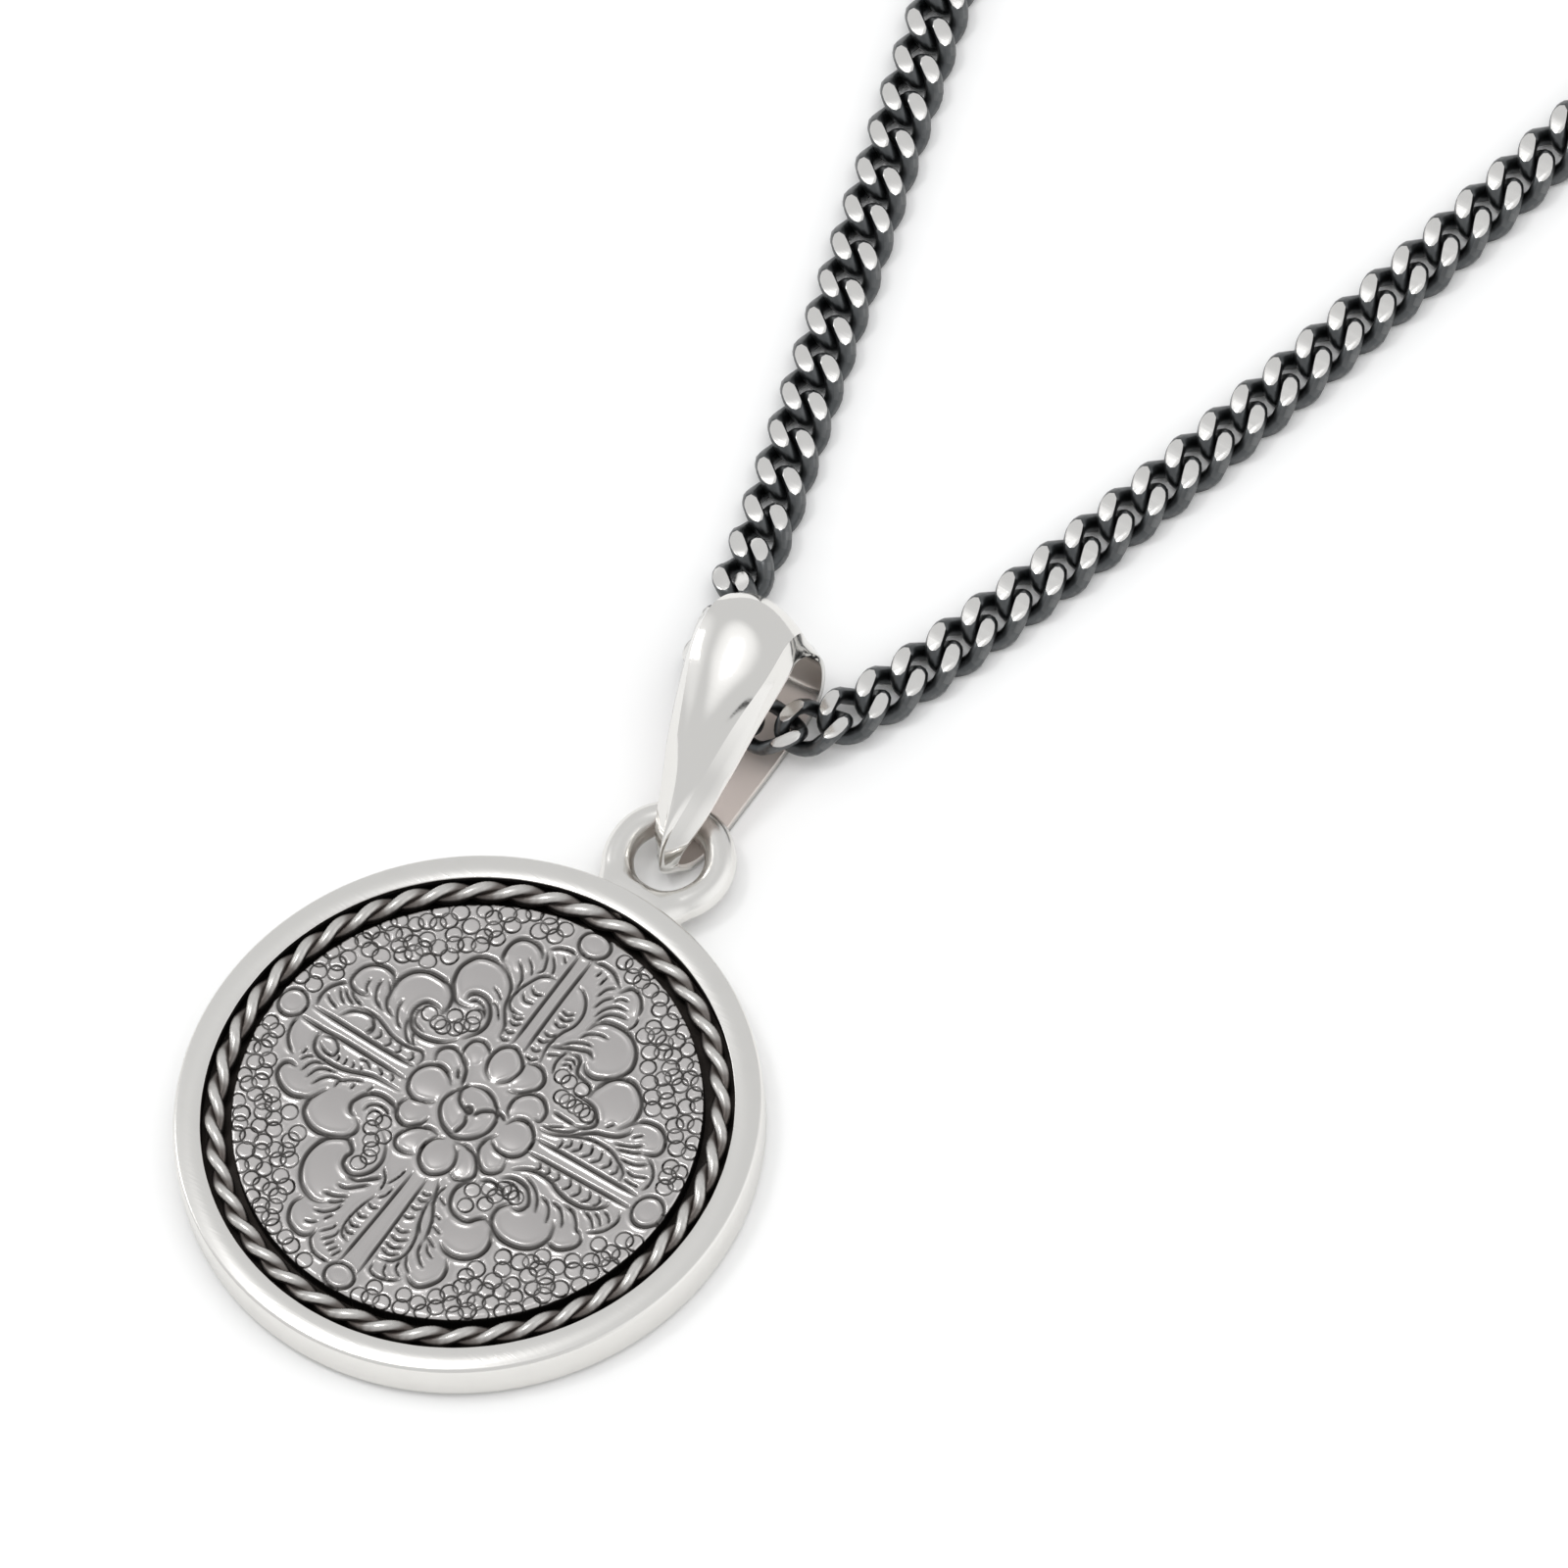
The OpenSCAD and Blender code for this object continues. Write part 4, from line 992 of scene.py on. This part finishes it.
def chase(x, y, lays):
    """Height of the work over the field at each point, and how far each point lies in a cut."""
    dome, shoulder = np.zeros_like(x), np.zeros_like(x)
    deep, dark = np.zeros_like(x), np.zeros_like(x)

    def cut(near, d, width, depth, burr=0.42, black=1.0):
        """Cuts a line at distance d from the points near it."""
        deep[near] = np.maximum(deep[near], depth * np.exp(-(d / (0.5 * width))**2))
        beside = np.exp(-((d - 1.1 * width) / (0.45 * width))**2)
        shoulder[near] = np.maximum(shoulder[near], burr * depth * beside)
        inside = np.exp(-(d / (0.62 * width))**4)
        dark[near] = np.maximum(dark[near], black * depth / LINE_DEPTH * inside)

    def cut_line(width, points, depth=LINE_DEPTH, taper=0.18):
        line = smooth_line(points, 6)
        (left, low), (right, high) = line.min(0) - 2.5 * width, line.max(0) + 2.5 * width
        near = np.nonzero((x > left) & (x < right) & (y > low) & (y < high))[0]
        a, d = line[:-1], np.diff(line, axis=0)
        q = np.stack([x[near], y[near]], 1)[:, None, :] - a
        t = np.clip((q * d).sum(2) / (d * d).sum(1), 0, 1)
        away = np.linalg.norm(q - t[:, :, None] * d, axis=2)
        k = away.argmin(1)
        rows = np.arange(len(near))
        # thinner and shallower towards both ends
        share = (k + t[rows, k]) / len(a)
        ease = np.clip(np.minimum(share, 1 - share) / taper, 0, 1)**0.5
        cut(near, away[rows, k], width * (0.6 + 0.5 * ease), depth * (0.35 + 0.65 * ease))

    def cut_ring(u, v, radius, width, depth, lean):
        near = np.nonzero((np.abs(x - u) < radius + 0.3) & (np.abs(y - v) < radius + 0.3))[0]
        du, dv = x[near] - u, y[near] - v
        side = 1 + 0.35 * np.cos(np.arctan2(dv, du) - lean)
        cut(near, np.abs(np.hypot(du, dv) - radius), width, depth * side, 0.12, 0.8)

    def oval(u, v, wide, high):
        return np.sqrt(((x - u) / wide)**2 + ((y - v) / high)**2)

    def swell(u, v, wide, high, height):
        return height * np.clip(1 - oval(u, v, wide, high)**2, 0, 1)**0.55

    rng = np.random.default_rng(5)
    for lay in lays:
        for u, v, radius in lay:
            cut_ring(u, v, radius, RING_LINE, 0.6 * LINE_DEPTH, rng.uniform(0, 2 * math.pi))
            dome = np.maximum(dome, swell(u, v, radius, radius, RING_DOME))
    button = [(0, 0, 100, 100)]
    for ovals, height in ((LOBES, LOBE_DOME), (PETALS, PETAL_DOME), (button, BUTTON_DOME)):
        for u, v, wide, high in hundredths(ovals, 4):
            dome = np.maximum(dome, swell(u, v, wide, high, height))
    for width, *line in LINES:
        cut_line(width / 100, hundredths(line))
    for width, curl, *ends in RIBS:
        bow = 2.6 * (curl / 100)
        for x0, y0, x1, y1 in hundredths(ends, 4):
            mid = ((x0 + x1) / 2 - bow * (y1 - y0), (y0 + y1) / 2 + bow * (x1 - x0))
            cut_line(width / 100, [(x0, y0), mid, (x1, y1)])
    for line in PETAL_LINES:
        cut_line(PETAL_LINE, hundredths(line))
    for line in BUTTON:
        cut_line(BUTTON_LINE, hundredths(line), taper=0.1)
    near = np.nonzero(np.hypot(x - NAVEL_X, y - NAVEL_Y) < 0.5)[0]
    away = np.hypot(x[near] - NAVEL_X, y[near] - NAVEL_Y)
    cut(near, np.clip(away - NAVEL_R, 0, 1), 0.12, LINE_DEPTH)
    for u, v, wide, high in hundredths(BEADS, 4):
        at = oval(u, v, wide, high)
        for field in (deep, shoulder, dark, dome):
            field[at < 1] = 0
        dome = np.maximum(dome, swell(u, v, wide, high, BEAD_DOME))
        near = np.nonzero(at < 1.6)[0]
        cut(near, np.abs(at[near] - 1) * min(wide, high), BEAD_LINE, LINE_DEPTH)
    rim = step(np.hypot(x, y), COIN_R - 0.14, COIN_R - 0.02)
    return np.minimum(dome + shoulder - deep, HIGHEST) - 0.05 * rim, np.clip(dark, 0, 1)


def make_coin():
    """The coin's face as a fine grid, pressed to shape, with its edge and back."""
    cells, face_r, edge_drop = 308, COIN_R - COIN_EDGE, 0.05
    bpy.ops.mesh.primitive_grid_add(x_subdivisions=cells, y_subdivisions=cells, size=2)
    coin = bpy.context.object
    coin.name = coin.data.name = "coin_chased"
    p = np.zeros(len(coin.data.vertices) * 3, np.float32)
    coin.data.vertices.foreach_get("co", p)
    p = p.reshape(-1, 3).astype(float)
    x, y = p[:, 0], p[:, 1]
    # the square grid pulled to a disc of even cells
    wide = np.abs(x) >= np.abs(y)
    r, small = np.where(wide, x, y), np.where(wide, y, x)
    angle = np.pi / 4 * np.divide(small, r, out=np.zeros_like(r), where=np.abs(r) > 1e-9)
    a, b = r * np.cos(angle) * face_r, r * np.sin(angle) * face_r
    p[:, 0], p[:, 1] = np.where(wide, a, b), np.where(wide, b, a)
    lays = ring_spots()
    relief, cut = chase(p[:, 0], p[:, 1], lays)
    p[:, 2] = FIELD_Z + relief
    place(coin, p)
    edit(coin)
    bpy.ops.mesh.select_all(action="DESELECT")
    bpy.ops.mesh.select_mode(type="EDGE")
    bpy.ops.mesh.select_non_manifold(extend=False)
    for size, lower in ((COIN_R / face_r, edge_drop), (1, FIELD_Z - COIN_FOOT_Z - edge_drop)):
        bpy.ops.mesh.extrude_region_move(TRANSFORM_OT_translate={"value": (0, 0, -lower * MM)})
        bpy.ops.transform.resize(value=(size, size, 1), center_override=(0, 0, 0))
    bpy.ops.mesh.edge_face_add()
    bpy.ops.mesh.select_all(action="SELECT")
    bpy.ops.mesh.normals_make_consistent(inside=False)
    done()
    q = spots(coin)
    wear_and_painted_light, punched = np.zeros((2, len(q)))
    wear_and_painted_light[:len(cut)] = 1 - cut
    for name, lay in zip(RING_LAYS, lays):
        away = np.full(len(q), 1.0)
        for u, v, radius in lay:
            away = np.minimum(away, np.hypot(q[:, 0] - u, q[:, 1] - v) - radius)
        mark(coin, name, away)
        punched = np.maximum(punched, 1 - step(away, 0.05, 0.2))
    # painted light: round the ring punches the ground is coloured brighter than the smooth work,
    # making up for the shade of its punched relief and standing in for glints on the burrs
    mark(coin, "wear_and_painted_light", wear_and_painted_light * (0.84 + 0.16 * punched))
    smooth(coin, 70)
    dress(coin, coin_finish, "coin_silver", "coin")


# Surroundings


def softbox(name, at, size, power):
    """A soft light over the pendant, not seen itself by the camera."""
    light = bpy.data.lights.new(name, "AREA")
    light.shape, light.size, light.size_y = "RECTANGLE", *size
    light.energy = power
    lamp = bpy.data.objects.new(name, light)
    lamp.location = at
    toward = Vector((0, 0.02, 0)) - Vector(at)
    lamp.rotation_euler = toward.to_track_quat("-Z", "Y").to_euler()
    lamp.visible_camera = False
    bpy.context.scene.collection.objects.link(lamp)
    return lamp


def make_studio():
    bpy.ops.mesh.primitive_plane_add(size=6, location=(0, 0, -0.05 * MM))
    floor = bpy.context.object
    floor.name = floor.data.name = "paper_floor"
    paper = bpy.data.materials.new("white_paper")
    paper.use_nodes = True
    tree = paper.node_tree
    feed(tree, tree.nodes["Principled BSDF"], {
        "Base Color": (0.93, 0.93, 0.925, 1), "Roughness": 0.9, "Specular IOR Level": 0.1})
    floor.data.materials.append(paper)
    world = bpy.data.worlds.new("studio")
    world.use_nodes = True
    tree = world.node_tree
    bpy.context.scene.world = world
    # an even tent, brighter round the lamps, with a small dark hole to look through
    where = put(tree, "TexCoord").outputs["Generated"]
    total = 0.78
    for aim, reach, glow in (((-0.27, -0.1, 0.95), 0.91, 0.45), ((0.86, 0.35, 0.25), 0.6, 0.4),
                             ((-0.75, -0.15, 0.45), 0.93, 0.25),
                             ((0.353, -0.353, 0.866), 0.9985, -0.75)):
        toward = put(tree, "VectorMath", {0: where, 1: Vector(aim).normalized()},
                     operation="DOT_PRODUCT")
        blob = put(tree, "MapRange", {"Value": toward.outputs["Value"], "From Min": reach,
                                      "From Max": 1.0, "To Max": glow},
                   interpolation_type="SMOOTHERSTEP")
        total = put(tree, "Math", {0: blob, 1: total}, operation="ADD")
    feed(tree, tree.nodes["Background"], {"Color": (0.985, 0.99, 1, 1), "Strength": total})
    softbox("top_softbox", (-0.25, -0.1, 0.92), (0.17, 0.17), 1.05)
    # light for the paper alone, too wide and near to show in the silver
    softbox("paper_softbox", (0.3, 0.2, 1.5), (1, 1), 5.2).visible_glossy = False
    softbox("side_softbox", (-0.75, -0.15, 0.45), (0.15, 0.3), 0.4)


def make_camera():
    """A long lens well back, at the photograph's angle, turned a little about its own axis."""
    aim, distance, across = Vector((1.52, 16.1, 1.8)) * MM, 1.5, 52.98 * MM
    tilt, roll, half = math.radians(60.11), math.radians(10.25), math.sqrt(0.5)
    back = Vector((math.cos(tilt) * half, -math.cos(tilt) * half, math.sin(tilt)))
    right = Vector((half, half, 0))
    up = back.cross(right)
    x = right * math.cos(roll) - up * math.sin(roll)
    y = right * math.sin(roll) + up * math.cos(roll)
    lens = bpy.data.cameras.new("camera")
    lens.sensor_width, lens.lens = 36, 36 * distance / across
    lens.clip_start, lens.clip_end = 0.05, 20
    camera = bpy.data.objects.new("camera", lens)
    camera.matrix_world = Matrix.Translation(aim + back * distance) \
        @ Matrix((x, y, back)).transposed().to_4x4()
    bpy.context.scene.collection.objects.link(camera)
    bpy.context.scene.camera = camera


make_rim()
make_jump_ring()
make_rope()
make_bail()
make_clasp(*make_chain())
make_coin()
make_studio()
make_camera()
bpy.context.scene.view_settings.view_transform = "Standard"
